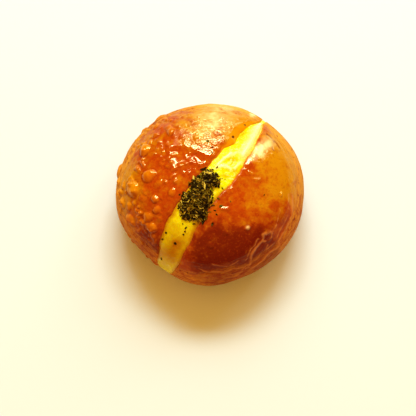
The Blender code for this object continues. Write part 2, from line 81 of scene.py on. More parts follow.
# Waves round the outline: how many, how high, and the bearing of one peak in degrees.
OUTLINE_WAVES = (
    (2, 0.88 * MM, 0.0),
    (3, 0.31 * MM, 40.0),
    (4, 0.38 * MM, 0.0),
    (5, 0.29 * MM, -24.0),
    (6, 0.29 * MM, 14.5),
)

# The cut. Each station: place along the cut, then its left and right edge on the crust.
CUT_BEARING = math.radians(57.5)
CUT_STATIONS = in_metres(3, (
    (-58.0, 1.0, -6.0), (-46.0, 4.0, -7.2), (-31.0, 8.2, -6.4), (-14.0, 8.3, -5.2),
    (0.0, 7.2, -6.6), (10.0, 5.2, -8.4), (20.5, 3.7, -7.8), (25.0, 1.8, -7.8), (34.0, 1.8, -7.0),
    (45.0, -2.3, -4.6), (50.0, -3.0, -4.4), (58.0, -3.2, -4.6),
))
CUT_FLOOR_HEIGHT = 14.0 * MM
CUT_FLOOR_HALF_WIDTH = 1.6 * MM
CUT_TOP_HEIGHT = 62.0 * MM
CUT_LEAST_DEPTH = 10.0 * MM
CUT_STEPS_ALONG = 150
CUT_STEPS_UP = 5
# Small waves of the cut's edges: height, length along the cut and a start in radians.
LEFT_EDGE_WAVES = ((0.30 * MM, 9.5 * MM, 0.6), (0.15 * MM, 4.1 * MM, 2.1))
RIGHT_EDGE_WAVES = ((0.25 * MM, 11.5 * MM, 2.0), (0.12 * MM, 3.7 * MM, 0.3))

# The lips beside the cut sink towards it. The left one is broad and rolled in near its upper end.
LIP_DROP = 1.3 * MM
LIP_WIDTH = 1.9 * MM
LIP_FADE_HEIGHT = 16.0 * MM
ROLLED_LIP_PLACE = 32.0 * MM
ROLLED_LIP_LENGTH = 9.0 * MM
ROLLED_LIP_DROP = 3.0 * MM
ROLLED_LIP_WIDTH = 4.8 * MM
# How wide the lips' smooth amber skin is.
LIP_SHEEN_WIDTH = 1.0 * MM
ROLLED_SHEEN_WIDTH = 6.5 * MM

# Broad unevenness of the whole bun, its filling included.
SWELL_HEIGHT = 0.35 * MM
SWELL_LENGTH = 15.0 * MM
# Broad hollows: place seen from above (x, y), radius and depth.
HOLLOWS = in_metres(4, (
    (-12.5, 16.0, 9.0, 1.3), (34.0, -24.0, 9.0, 0.9), (16.0, -5.0, 9.0, 0.5),
    (29.5, 36.5, 3.0, 0.9),
))
# Small dents in the crust: place seen from above (x, y), radius and depth.
DENTS = in_metres(4, (
    (3.1, 28.1, 1.6, 0.8), (-11.1, 31.9, 1.0, 0.3), (-14.0, 28.6, 0.9, 0.3),
    (-8.9, 26.8, 1.1, 0.35), (-4.7, 31.7, 1.0, 0.3), (-2.5, 34.6, 0.9, 0.3),
    (-6.4, 35.0, 0.8, 0.25), (-0.8, 31.0, 0.9, 0.25),
))
# Burnt specks: place seen from above (x, y) and radius.
BURNT_SPECKS = in_metres(3, (
    (11.8, 26.0, 0.75), (18.1, 33.3, 0.5),
))
# Large blisters in the crust: place seen from above (x, y), radius and height.
BLISTERS = in_metres(4, (
    (-31.4, 5.8, 3.5, 1.0), (-39.9, -0.3, 4.3, 1.3), (-32.0, -15.3, 2.9, 0.9),
    (-30.1, -20.6, 3.4, 1.1), (-41.6, -15.4, 3.4, 1.1), (-36.4, -17.6, 1.5, 0.5),
    (-33.6, 19.8, 3.5, 1.2), (-20.2, 29.0, 2.1, 1.0), (-28.2, -6.8, 2.4, 0.8),
    (-27.1, -12.5, 2.1, 0.7), (-19.4, -3.6, 2.0, 0.5), (-41.9, -9.2, 2.2, 0.7),
    (-45.3, -6.6, 2.4, 0.7), (-47.3, 11.8, 3.6, 0.9), (-47.6, 5.2, 2.6, 0.6),
    (-35.0, 34.6, 3.6, 0.9), (-26.5, 39.4, 3.2, 0.8), (10.1, -2.8, 1.8, 0.3),
    (7.6, -23.9, 1.8, 0.3), (0.0, -30.3, 1.9, 0.3), (36.3, -3.8, 1.1, 0.6),
))
# Small blisters that stand alone, with a glint on each.
GLINTS = in_metres(3, (
    (-23.5, 18.2, 0.9), (-23.8, 13.5, 0.9), (-19.7, 12.3, 0.9), (-21.8, 9.9, 1.2),
    (-25.6, 23.5, 1.3), (-34.1, 11.7, 1.5), (-34.7, 14.5, 1.1), (-28.1, 16.9, 0.8),
    (-19.4, 4.4, 1.1), (-22.5, 1.9, 0.8), (-25.4, 1.7, 1.4), (-17.4, 1.8, 1.0), (-14.2, 6.8, 0.9),
    (-11.8, 39.0, 1.1), (-9.5, 35.2, 1.1), (-6.1, 37.5, 1.0), (-16.1, 32.3, 1.0),
))
GLINT_HEIGHT = 0.42 * MM
# How much higher every blister stands than its given height.
BLISTER_SWELL = 1.35
# The small blisters on the left half, by their places along and aside in millimetres.
SMALL_BLISTER_COUNT = 30
SMALL_BLISTER_ALONG = (-38.0, 34.0)
SMALL_BLISTER_ASIDE = (11.0, 44.0)
SMALL_BLISTER_REACH = 45.0 * MM
SMALL_BLISTER_RADIUS = (0.9 * MM, 1.9 * MM)
SMALL_BLISTER_HEIGHT = 0.3 * MM
# The blisters that crowd the left side, by their bearings in degrees and their reach.
RIM_BLISTER_COUNT = 90
RIM_BLISTER_BEARINGS = (118.0, 245.0)
RIM_BLISTER_REACH = (37.0 * MM, 48.5 * MM)
RIM_BLISTER_HEIGHT = 0.48 * MM
# The finest blisters, most of them on the left half, as a share is skipped on the right.
TINY_BLISTER_COUNT = 420
TINY_BLISTER_REACH = 46.0 * MM
TINY_BLISTER_SKIPPED = 0.75
TINY_BLISTER_RADIUS = (0.6 * MM, 1.1 * MM)
TINY_BLISTER_HEIGHT = 0.16 * MM
# How much longer than wide a blister may be.
BLISTER_STRETCH = 1.4
# How far blisters and wrinkles stray from their even form, and the size of the waves in it.
STRAY_REACH = 0.8 * MM
STRAY_LENGTH = 3.0 * MM
FINE_STRAY_REACH = 0.25 * MM
FINE_STRAY_LENGTH = 1.3 * MM
# The unglazed side reaches up to a wavy edge, which lies higher towards the right.
SIDE_TOP_ON_LEFT = 38.5 * MM
SIDE_TOP_RISE = 1.5 * MM
SIDE_EDGE_WIDTH = 8.0 * MM
SIDE_EDGE_WAVES = 2.5 * MM
SIDE_EDGE_WAVE_LENGTH = 9.0 * MM
# How far out the skin begins and is complete, where 1 is the smooth bun, and the measure
# below which the crust's walls can't be seen and have larger faces.
SKIN_MEASURES = (0.975, 0.99)
HIDDEN_MEASURE = 0.93
# Low lumps of the crust, and the length of its fine waves.
LUMP_HEIGHT = 0.12 * MM
LUMP_LENGTH = 6.0 * MM
FINE_WAVE_LENGTH = 2.2 * MM
# Low ridges along the outline: height, distance apart and length.
RING_RIDGE_HEIGHT = 0.22 * MM
RING_RIDGE_PITCH = 2.0 * MM
RING_RIDGE_LENGTH = 8.0 * MM

# Wrinkles of the skin: half-width, height, how pale it is, then places seen from above. One that
# isn't pale at all is a sharp fold, and one below nothing is a dark crease.
WRINKLES = lines_in_metres((
    (0.45, 0.38, 1.0, (
        (35.3, -11.0), (34.9, -18.3), (32.2, -23.8), (31.4, -26.1), (28.8, -27.9), (26.4, -27.7),
    )),
    (0.7, 0.45, 1.1, (
        (32.2, -23.8), (30.8, -23.1), (27.4, -24.4), (26.4, -27.7), (23.6, -30.7), (20.8, -35.4),
        (20.2, -39.1), (14.0, -44.0),
    )),
    (0.42, 0.32, 0.9, ((24.9, -26.9), (21.9, -30.6), (18.9, -35.8), (18.2, -39.0))),
    (0.9, 0.5, 1.1, (
        (42.6, -4.0), (41.8, -15.1), (39.7, -20.4), (37.3, -24.5), (35.7, -29.4), (30.7, -33.1),
        (27.0, -36.8), (21.7, -40.2),
    )),
    (0.45, 0.25, 0.9, (
        (40.4, -3.0), (40.2, -12.0), (38.6, -18.0), (36.0, -22.5), (33.9, -28.0), (29.0, -31.6),
    )),
    (0.45, 0.22, 0.8, ((1.0, -39.6), (7.7, -40.3), (12.3, -38.5), (18.5, -35.7))),
    (0.45, 0.25, 0.9, (
        (-6.0, -41.5), (-1.1, -42.7), (6.2, -43.1), (11.3, -41.5), (17.0, -40.4), (21.7, -40.2),
    )),
    (0.4, 0.2, 0.8, ((9.0, -44.2), (15.0, -42.6), (19.6, -38.8), (25.6, -34.6), (30.0, -29.8))),
    (2.3, 0.7, 0.0, ((-21.0, 20.5), (-20.2, 14.0), (-18.6, 9.6), (-14.5, 10.2), (-10.3, 12.4))),
    (1.4, 0.42, 0.0, ((-10.3, 12.4), (-5.7, 10.7), (-2.6, 11.4))),
    (1.3, 0.36, 0.0, ((-13.4, 17.6), (-11.6, 14.0), (-8.0, 14.6), (-5.7, 10.9))),
    (3.0, 0.6, 0.0, ((-19.0, 21.0), (-13.0, 20.6), (-6.0, 17.6), (-0.5, 15.0))),
    (1.1, 0.6, 0.0, ((18.1, -22.0), (20.3, -21.0))),
    (1.4, 0.7, 0.0, ((5.9, -12.4), (8.8, -12.2))),
    (1.1, 0.45, 0.0, ((22.4, 3.1), (25.4, 3.4))),
    (0.9, 0.32, 0.0, ((19.8, 7.0), (22.4, 5.6))),
    (0.55, -0.35, -1.2, (
        (29.2, 28.2), (30.7, 27.1), (32.2, 25.5), (33.0, 23.8), (32.4, 21.9), (32.7, 20.0),
    )),
    (0.45, -0.25, -1.0, ((32.2, 25.5), (34.4, 24.0), (36.0, 21.6))),
    (0.4, -0.2, -0.5, ((25.4, 26.0), (26.6, 24.2), (28.0, 22.7), (30.2, 23.2))),
))
# Zones baked lighter and darker, and zones of painted highlight and painted reflection: place seen
# from above (x, y), radius and share.
GOLDEN_ZONES = in_metres(3, (
    (0.0, 45.0, 13.0, 1.0), (-3.0, 28.0, 9.0, 0.6), (-15.0, 32.0, 7.0, 0.4),
    (18.0, 43.0, 10.0, 1.3), (-36.0, 27.0, 7.0, 0.5), (-42.0, 13.0, 6.0, 0.6),
    (11.5, 27.5, 5.5, 1.1), (16.0, 35.0, 4.5, 0.9), (30.0, 12.0, 11.0, 0.55),
    (38.0, 14.0, 9.0, 0.55), (35.0, -2.0, 9.0, 0.6), (22.0, -10.0, 7.0, 0.5),
    (-40.0, 0.0, 7.0, 0.6), (-46.0, -10.0, 7.0, 0.7), (-33.0, 21.0, 5.0, 0.4),
    (-35.0, -17.0, 7.0, 0.35), (-49.0, 4.0, 8.0, 1.0), (33.5, 28.0, 6.0, 1.1),
    (42.0, 19.0, 6.5, 0.8), (47.0, 3.0, 8.0, 0.8),
))
# Painted highlights and painted reflections of the light from behind: the crust is painted pale
# cream here, and one zone is a painted glint.
PAINTED_HIGHLIGHT_ZONES = in_metres(3, (
    (30.0, 23.5, 3.8, 0.85), (25.0, 19.0, 3.6, 0.85), (21.5, 14.5, 2.2, 0.5),
    (22.3, 40.0, 1.8, 0.9), (0.0, 32.0, 10.0, 0.35), (8.0, 44.0, 13.0, 0.4),
    (19.3, -21.4, 1.2, 1.0),
))
DARK_ZONES = in_metres(3, (
    (2.0, -32.0, 13.0, 1.1), (15.0, -33.0, 10.0, 1.0), (27.0, -29.0, 9.0, 0.9),
    (37.0, -16.0, 4.5, 0.5), (-34.0, -28.0, 9.0, 0.65), (-24.0, -31.0, 6.0, 0.4),
    (7.0, -7.0, 4.0, 0.35), (-12.0, 3.0, 5.0, 0.25), (4.0, -47.0, 14.0, 0.5),
    (30.0, -37.0, 9.0, 0.8),
))
# Zones of finely rippled skin, whose shine is soft.
SHEEN_ZONES = in_metres(3, (
    (-3.0, 27.0, 9.0, 1.0), (4.0, 36.0, 10.0, 0.9), (-12.0, 31.0, 8.0, 0.8),
))
# Zones of smooth skin between sharp folds.
CALM_ZONES = in_metres(3, (
    (-15.5, 14.0, 5.5, 1.2), (-6.0, 14.5, 5.5, 1.2),
))
# The crust's masks that are made from zones.
CRUST_ZONES = {
    "golden": GOLDEN_ZONES, "pale_and_highlight": PAINTED_HIGHLIGHT_ZONES, "sheen": SHEEN_ZONES, "calm": CALM_ZONES,
    "scorch": DARK_ZONES,
}

# The filling is crowned. Its edges lie on the lips' edges, a little higher than they do, so that
# no groove shows, and it comes flush with the crust where the cut runs out of the bun's side.
FILLING_RECESS = 0.3 * MM
FILLING_OVER_LIP = 0.25 * MM
FILLING_END_RECESS = 0.1 * MM
FILLING_END_HEIGHT = 34.0 * MM
# Folds of the filling: half-width, height, how strongly its crest is painted pale as a highlight,
# then places seen from above.
FILLING_FOLDS = lines_in_metres((
    (1.7, 1.2, 1.0, ((26.5, 34.0), (24.3, 30.4), (21.9, 24.8), (19.6, 20.4), (17.2, 15.6))),
    (0.6, 0.6, 1.0, ((10.8, 17.0), (8.6, 15.0), (5.9, 12.8), (3.6, 10.2))),
    (0.6, 0.7, 1.0, ((17.6, 12.9), (14.9, 11.2), (12.6, 8.8))),
    (0.6, 0.5, 1.0, ((10.6, 8.4), (7.6, 9.9), (4.3, 9.4))),
    (0.5, 0.45, 1.0, ((13.6, 17.2), (9.8, 15.0), (6.8, 14.4))),
    (0.35, 0.45, 1.0, ((-15.4, -37.0), (-16.6, -39.4))),
    (0.4, 0.3, 0.0, ((-22.4, -38.4), (-20.0, -40.4))),
    (0.6, 0.4, 0.0, ((4.4, 5.0), (6.5, 6.0), (9.3, 5.4))),
    (1.1, 0.35, 0.0, ((-14.0, -14.0), (-19.0, -24.0))),
))
# Hollows of the filling: place seen from above (x, y), radius and depth.
FILLING_HOLLOWS = in_metres(4, (
    (12.0, 12.6, 2.8, 0.9), (8.3, 2.9, 2.6, 0.5), (-15.5, -30.5, 4.0, 0.4),
))
# Zones of deeper yolk colour in the filling, some of them painted shade in its hollows and beside
# the rolled lip: place seen from above (x, y), radius and share.
FILLING_DEEP_AND_SHADE_ZONES = in_metres(3, (
    (-15.5, -30.0, 6.5, 0.7), (-17.5, -29.2, 2.2, 0.5), (-20.5, -35.0, 4.5, 0.5),
    (-9.5, -22.5, 3.5, 0.3), (-22.0, -21.0, 4.0, 0.5), (-26.0, -33.0, 4.0, 0.6),
    (12.3, 12.5, 2.6, 0.3), (17.0, 27.0, 4.0, 0.3),
))
# The real filling touches the bread, so it reaches a little into the walls of the cut.
FILLING_OVERLAP = 1.0 * MM

# The heap of dried parsley is a group of round lobes: place seen from above (x, y) and radius.
HEAP_LOBES = in_metres(3, (
    (-0.6, 3.4, 4.2), (-5.1, -2.3, 5.4), (-3.3, -7.4, 4.2), (-8.9, -8.9, 4.8), (-6.1, -13.9, 4.6),
    (-7.2, 1.9, 1.9), (-13.2, -5.8, 1.6), (-13.9, -11.6, 2.2), (-12.0, -16.2, 1.8),
    (3.6, 0.6, 1.6),
))
# Height of the largest lobe, how much of a lobe's height and radius its dense inside has, and
# how far that goes into the bun.
HEAP_HEIGHT = 2.6 * MM
HEAP_CORE_SHARE = 0.6
HEAP_CORE_REACH = 0.92
HEAP_CORE_SINK = 0.05 * MM
HEAP_LOBE_RINGS = 7
HEAP_LOBE_SPOKES = 24
# How far out the flakes lie as a share of a lobe's radius. Then the share of them that lies round
# the lobes' edges, how far out, and the share that is stalk.
HEAP_FLAKE_REACH = 1.1
HEAP_STRAY_SHARE = 0.12
HEAP_STRAY_REACH = 1.6 * MM
HEAP_STALK_SHARE = 0.06
STALK_STRETCH = 2.1
STALK_TONE = 0.95
# How far flakes may lean from the slope they lie on, in degrees.
HEAP_FLAKE_LEAN = 55.0
LOOSE_FLAKE_LEAN = 14.0
LOOSE_FLAKE_LIFT = 0.12 * MM

# Single flakes, by their place seen from above and their radius.
LOOSE_FLAKES = in_metres(3, (
    (-1.4, 23.1, 1.3), (1.0, 19.7, 0.6), (1.0, 17.0, 0.45), (5.6, -10.8, 1.2), (3.4, -15.2, 0.9),
    (2.4, -13.2, 0.6), (1.2, -20.0, 0.8), (10.4, -8.6, 0.5), (4.2, -7.0, 0.7), (27.5, -4.7, 0.4),
    (43.0, 22.6, 0.4), (-17.9, -29.0, 1.2), (-22.6, -23.6, 0.7), (-24.4, -26.6, 0.7),
    (-12.8, -23.4, 0.7), (-12.4, -21.6, 0.6), (-13.6, -24.9, 0.6), (-13.9, -19.6, 0.4),
    (-25.2, -35.6, 0.7), (3.6, 9.0, 0.6), (6.1, 3.4, 0.35), (7.6, 2.8, 0.35),
))

# How the camera looks at the bun: it stands in front and nearly overhead.
CAMERA_ELEVATION = math.radians(82.0)
CAMERA_DISTANCE = 750.0 * MM
CAMERA_AIM_LEFT = 1.1 * MM
CAMERA_AIM_BELOW = 7.2 * MM
VIEW_WIDTH_AT_BUN = 221.3 * MM
SENSOR_WIDTH = 36.0

# Light panels behind the bun: name, power in watts, bearing and elevation in degrees, then width
# and height in metres.
PANELS = (
    ("core", 26.0, 87.0, 49.0, 1.2, 0.45),
    ("sky", 17.0, 89.0, 45.0, 2.1, 0.8),
    ("horizon", 6.0, 86.0, 29.0, 2.5, 0.7),
    ("side", 5.0, 48.0, 32.0, 0.5, 0.9),
)
PANEL_DISTANCE = 2.5
# How far up the room's light has its full strength, where 1 is straight above.
ROOM_FULL_LIGHT = 0.7
FLOOR_HALF_SIZE = 12.0
FLOOR_DROP = 0.02 * MM


def linear(red, green, blue):
    """Return a linear colour for three display values from 0 to 255."""
    shares = (value / 255.0 for value in (red, green, blue))
    return tuple(s / 12.92 if s <= 0.04045 else ((s + 0.055) / 1.055) ** 2.4 for s in shares)


# ---------------------------------------------------------------- settings


def length_setting(name, description, default):
    """Return a property that holds a length in metres."""
    return FloatProperty(
        name=name, description=description, default=default, min=0.0, precision=5,
        subtype="DISTANCE", unit="LENGTH",
    )


def share_setting(name, description, default):
    """Return a property that holds a share from 0 to 1."""
    return FloatProperty(
        name=name, description=description, default=default, min=0.0, max=1.0, subtype="FACTOR"
    )


def colour_setting(name, description, default):
    """Return a property that holds a linear colour."""
    return FloatVectorProperty(
        name=name, description=description, default=default, min=0.0, max=1.0, subtype="COLOR"
    )


class EggBunCrustSettings(bpy.types.PropertyGroup):
    """Fineness, relief and colours of the crust."""

    voxel: length_setting("Voxel", "Fineness of the crust's mesh", 0.56 * MM)
    ripple: length_setting("Ripple", "Height of the crust's fine unevenness", 0.05 * MM)
    body: colour_setting("Crust", "Main colour of the glazed crust", linear(180, 70, 0))
    golden: colour_setting("Golden", "Colour of its lighter patches", linear(200, 136, 10))
    # Dark also colours the painted shade at the blisters' front-left feet.
    dark: colour_setting("Dark", "Colour of its darkest patches", linear(126, 5, 0))
    # Blister also colours the painted glow at the blisters' rims.
    blister: colour_setting("Blister", "Colour of the blisters' thin skin", linear(224, 142, 16))
    amber: colour_setting("Amber", "Colour of the smooth lips", linear(226, 150, 4))
    # Cream colours the pale specks, and also the painted highlights and painted reflections of the
    # highlight zones.
    cream_and_highlight: colour_setting("Cream", "Colour of the palest skin", linear(240, 206, 146))
    tan: colour_setting("Tan", "Colour of the wrinkles", linear(214, 142, 78))
    wall: colour_setting("Wall", "Colour of the unglazed side", linear(220, 154, 50))
    wall_dark: colour_setting("Wall streaks", "Colour of the side's streaks", linear(176, 76, 8))
    side: colour_setting("Side", "Colour of the palest, lowest part", linear(214, 146, 62))
    crumb: colour_setting("Crumb", "Colour of the bread inside the cut", linear(238, 180, 78))
    underside: colour_setting("Underside", "Colour of the baked base", linear(150, 84, 36))


class EggBunFillingSettings(bpy.types.PropertyGroup):
    """Fineness and colours of the egg salad."""

    voxel: length_setting("Voxel", "Fineness of the filling's mesh", 0.42 * MM)
    body: colour_setting("Filling", "Main colour of the egg salad", linear(232, 220, 10))
    # Deep also colours the painted shade in the filling's hollows and beside the rolled lip.
    deep_and_shade: colour_setting("Deep", "Colour of its deeper yolk tones", linear(192, 128, 3))
    # Pale colours fine specks, and the painted highlight streaks and fold crests.
    pale_and_highlight: colour_setting("Pale", "Colour of its paler streaks", linear(252, 250, 180))


class EggBunParsleySettings(bpy.types.PropertyGroup):
    """Number, sizes and colours of the dried flakes."""

    count: IntProperty(name="Flakes", description="Flakes in the heap", default=900, min=10)
    smallest: length_setting("Smallest", "Radius of the smallest flake", 0.30 * MM)
    largest: length_setting("Largest", "Radius of the largest flake", 1.35 * MM)
    thickness: length_setting("Thickness", "Thickness of a flake", 0.09 * MM)
    dark: colour_setting("Dark", "Colour of most flakes", linear(50, 30, 2))
    green: colour_setting("Green", "Colour of the greener flakes", linear(124, 98, 8))
    straw: colour_setting("Straw", "Colour of the palest bits", linear(214, 184, 84))


class EggBunStageSettings(bpy.types.PropertyGroup):
    """Floor and light."""

    floor: colour_setting("Floor", "Colour of the floor", linear(222, 226, 230))
    daylight: colour_setting("Daylight", "Colour of the panels' light", (0.76, 1.02, 1.12))
    room: colour_setting("Room", "Colour of the room's light", (1.0, 0.62, 0.18))
    panel_share: share_setting("Panel share", "Share of the panels' full power", 1.0)
    room_strength: FloatProperty(
        name="Room strength", description="Strength of the light from above", default=0.70
    )
    horizon_strength: FloatProperty(
        name="Horizon strength", description="Strength of the light from the sides", default=0.24
    )


# ---------------------------------------------------------------- shape of the bun


def outline_radius(bearings):
    """Return the radius of the bun's widest level at each bearing."""
    radius = np.full_like(bearings, BUN_RADIUS)
    for count, height, peak in OUTLINE_WAVES:
        radius += height * np.cos(count * (bearings - math.radians(peak)))
    return radius


def outline_middle():
    """Return the middle of the outline's bounding box, which the bun is moved by."""
    bearings = np.linspace(0.0, 2.0 * math.pi, 721)
    radius = outline_radius(bearings)
    x = radius * np.cos(bearings)
    y = radius * np.sin(bearings)
    return 0.5 * (x.min() + x.max()), 0.5 * (y.min() + y.max())


def dome_measure(points):
    """Return how far out each point lies: 1 on the smooth bun, less inside it."""
    middle = outline_middle()
    x = points[:, 0] + middle[0]
    y = points[:, 1] + middle[1]
    flat = np.hypot(x, y) / outline_radius(np.arctan2(y, x))
    rise = points[:, 2] - EQUATOR_HEIGHT
    upper = rise >= 0.0
    power = np.where(upper, UPPER_POWER, LOWER_POWER)
    reach = np.where(upper, CROWN_HEIGHT - EQUATOR_HEIGHT, UNDERSIDE_DEPTH)
    return (flat ** power + (np.abs(rise) / reach) ** power) ** (1.0 / power)


def dome_middle():
    """Return the point inside the bun that its smooth shape is measured from."""
    middle = outline_middle()
    return np.array([-middle[0], -middle[1], EQUATOR_HEIGHT])


def to_dome(points):
    """Move points straight out from the bun's middle onto its smooth shape."""
    centre = dome_middle()
    return centre + (points - centre) / dome_measure(points)[:, None]


def dome_normals(points):
    """Return the smooth bun's outward directions at points near its surface."""
    step = 0.05 * MM
    slopes = []
    for axis in range(3):
        shift = np.zeros(3)
        shift[axis] = step
        slopes.append(dome_measure(points + shift) - dome_measure(points - shift))
    normals = np.stack(slopes, axis=1)
    return normals / np.linalg.norm(normals, axis=1)[:, None]


def dome_height(x, y):
    """Return the height of the smooth bun over a place."""
    middle = outline_middle()
    x = np.asarray(x, float) + middle[0]
    y = np.asarray(y, float) + middle[1]
    share = np.hypot(x, y) / outline_radius(np.arctan2(y, x))
    rise = np.clip(1.0 - share ** UPPER_POWER, 0.0, 1.0) ** (1.0 / UPPER_POWER)
    return EQUATOR_HEIGHT + (CROWN_HEIGHT - EQUATOR_HEIGHT) * rise


def on_dome(x, y):
    """Return the point of the smooth bun over a place."""
    return np.array([x, y, float(dome_height(x, y))])


def along_and_aside(x, y):
    """Return a place's two measures in the directions of the cut."""
    along = x * math.cos(CUT_BEARING) + y * math.sin(CUT_BEARING)
    aside = y * math.cos(CUT_BEARING) - x * math.sin(CUT_BEARING)
    return along, aside


def from_cut(along, aside):
    """Return x and y of a place given in the directions of the cut."""
    x = along * math.cos(CUT_BEARING) - aside * math.sin(CUT_BEARING)
    y = along * math.sin(CUT_BEARING) + aside * math.cos(CUT_BEARING)
    return x, y


def smooth_through(stations, column, places):
    """Read a smooth curve through the stations' values at the given places."""
    knots = np.array([station[0] for station in stations])
    values = np.array([station[column] for station in stations])
    slopes = np.gradient(values, knots)
    places = np.clip(places, knots[0], knots[-1])
    index = np.clip(np.searchsorted(knots, places) - 1, 0, len(knots) - 2)
    span = knots[index + 1] - knots[index]
    part = (places - knots[index]) / span
    start = values[index] * (1 + 2 * part) * (1 - part) ** 2
    start += slopes[index] * span * part * (1 - part) ** 2
    end = values[index + 1] * part ** 2 * (3 - 2 * part)
    end += slopes[index + 1] * span * part ** 2 * (part - 1)
    return start + end


def edge_waves(along, waves):
    """Return how far a wavy edge strays aside."""
    return sum(
        height * np.sin(2.0 * math.pi * along / length + start) for height, length, start in waves
    )


def cut_edges(along):
    """Return how far aside the cut's left and right edges lie on the crust."""
    along = np.asarray(along, float)
    left = smooth_through(CUT_STATIONS, 1, along) + edge_waves(along, LEFT_EDGE_WAVES)
    right = smooth_through(CUT_STATIONS, 2, along) + edge_waves(along, RIGHT_EDGE_WAVES)
    return left, right


def bell(distance, width):
    """Return a soft bump: 1 at no distance, falling off over the width."""
    return np.exp(-(distance / width) ** 2)


def smooth_step(low, high, values):
    """Return 0 below the low value, 1 over the high one, and a smooth rise between."""
    part = np.clip((values - low) / (high - low), 0.0, 1.0)
    return part * part * (3.0 - 2.0 * part)


def rolled_share(along):
    """Return how strongly the left lip is rolled in at a place along the cut."""
    return bell(along - ROLLED_LIP_PLACE, ROLLED_LIP_LENGTH)


def lip_drop(x, y):
    """Return how far the crust sinks beside the cut."""
    along, aside = along_and_aside(x, y)
    left, right = cut_edges(along)
    rolled = rolled_share(along)
    left_width = LIP_WIDTH + (ROLLED_LIP_WIDTH - LIP_WIDTH) * rolled
    left_drop = LIP_DROP + ROLLED_LIP_DROP * rolled
    beyond_left = np.maximum(aside - left, 0.0)
    beyond_right = np.maximum(right - aside, 0.0)
    on_left = aside > 0.5 * (left + right)
    return np.where(
        on_left,
        left_drop * np.exp(-beyond_left / left_width),
        LIP_DROP * np.exp(-beyond_right / LIP_WIDTH),
    )


def distance_share(points, x, y, radius):
    """Return each point's distance to a place on the bun, as a share of the radius."""
    return np.linalg.norm(points - on_dome(x, y), axis=1) / radius


def blister_share(points, x, y, radius, stretch, turn):
    """Return each point's distance to a long blister's middle, as a share of its radius, and how
    far the point lies towards the front left."""
    gaps = points - on_dome(x, y)
    squares = (gaps ** 2).sum(axis=1)
    lengthwise = gaps[:, 0] * math.cos(turn) + gaps[:, 1] * math.sin(turn)
    distance = np.sqrt(stretch * (squares - (1.0 - stretch ** -2) * lengthwise ** 2))
    frontward = -(gaps[:, 0] + gaps[:, 1]) / np.sqrt(2.0 * squares + 1e-12)
    return distance / radius, frontward


def broad_relief(points):
    """Return the broad unevenness that the crust and the filling share."""
    relief = SWELL_HEIGHT * lattice_noise(points, SWELL_LENGTH, 3)
    for x, y, radius, depth in HOLLOWS:
        relief -= depth * bell(distance_share(points, x, y, radius), 1.0)
    return relief


def zone_share(points, zones):
    """Return how strongly each point belongs to the given zones."""
    total = np.zeros(len(points))
    for x, y, radius, share in zones:
        reach = np.hypot(points[:, 0] - x, points[:, 1] - y)
        total += share * bell(reach, radius)
    return np.clip(total, 0.0, 1.0)


def small_blisters():
    """Draw the places and sizes of the small blisters, most of them on the left half."""
    draw = random.Random(31)
    found = []
    while len(found) < SMALL_BLISTER_COUNT:
        along = draw.uniform(*SMALL_BLISTER_ALONG) * MM
        aside = draw.uniform(*SMALL_BLISTER_ASIDE) * MM
        x, y = from_cut(along, aside)
        radius = draw.uniform(*SMALL_BLISTER_RADIUS)
        if math.hypot(x, y) > SMALL_BLISTER_REACH:
            continue
        taken = BLISTERS + tuple(found)
        if all(math.hypot(x - b[0], y - b[1]) > b[2] + radius for b in taken):
            found.append((x, y, radius, SMALL_BLISTER_HEIGHT))
    return tuple(found)


def rim_blisters():
    """Draw the places and sizes of the blisters that crowd the left side."""
    draw = random.Random(43)
    found = []
    for _ in range(RIM_BLISTER_COUNT):
        angle = math.radians(draw.uniform(*RIM_BLISTER_BEARINGS))
        reach = draw.uniform(*RIM_BLISTER_REACH)
        radius = draw.uniform(*SMALL_BLISTER_RADIUS)
        found.append((reach * math.cos(angle), reach * math.sin(angle), radius,
                      RIM_BLISTER_HEIGHT))
    return tuple(found)


def tiny_blisters():
    """Draw the places and sizes of the finest blisters, all over the glazed crust."""
    draw = random.Random(17)
    found = []
    for _ in range(TINY_BLISTER_COUNT):
        angle = draw.uniform(0.0, 2.0 * math.pi)
        reach = TINY_BLISTER_REACH * math.sqrt(draw.uniform(0.0, 1.0))
        x, y = reach * math.cos(angle), reach * math.sin(angle)
        on_right = along_and_aside(x, y)[1] < 0.0
        if on_right and draw.random() < TINY_BLISTER_SKIPPED:
            continue
        if zone_share(np.array([[x, y]]), CALM_ZONES)[0] > 0.5:
            continue
        found.append((x, y, draw.uniform(*TINY_BLISTER_RADIUS), TINY_BLISTER_HEIGHT))
    return tuple(found)


def curve_through(places, steps=6):
    """Return a smooth curve through places, as points on the bun."""
    ends = (places[0], *places, places[-1])
    curve = []
    for index in range(len(places) - 1):
        before, start, end, after = (np.array(place) for place in ends[index:index + 4])
        for step in range(steps):
            part = step / steps
            place = 0.5 * (
                2.0 * start + (end - before) * part
                + (2.0 * before - 5.0 * start + 4.0 * end - after) * part ** 2
                + (3.0 * (start - end) + after - before) * part ** 3
            )
            curve.append(on_dome(*place))
    return curve + [on_dome(*places[-1])]


def polyline_distance(points, places):
    """Return each point's distance to the smooth line through the places on the bun."""
    line = curve_through(places)
    nearest = np.full(len(points), 1.0)
    for start, end in zip(line[:-1], line[1:]):
        step = end - start
        part = np.clip((points - start) @ step / (step @ step), 0.0, 1.0)
        gap = np.linalg.norm(points - start - part[:, None] * step, axis=1)
        nearest = np.minimum(nearest, gap)
    return nearest


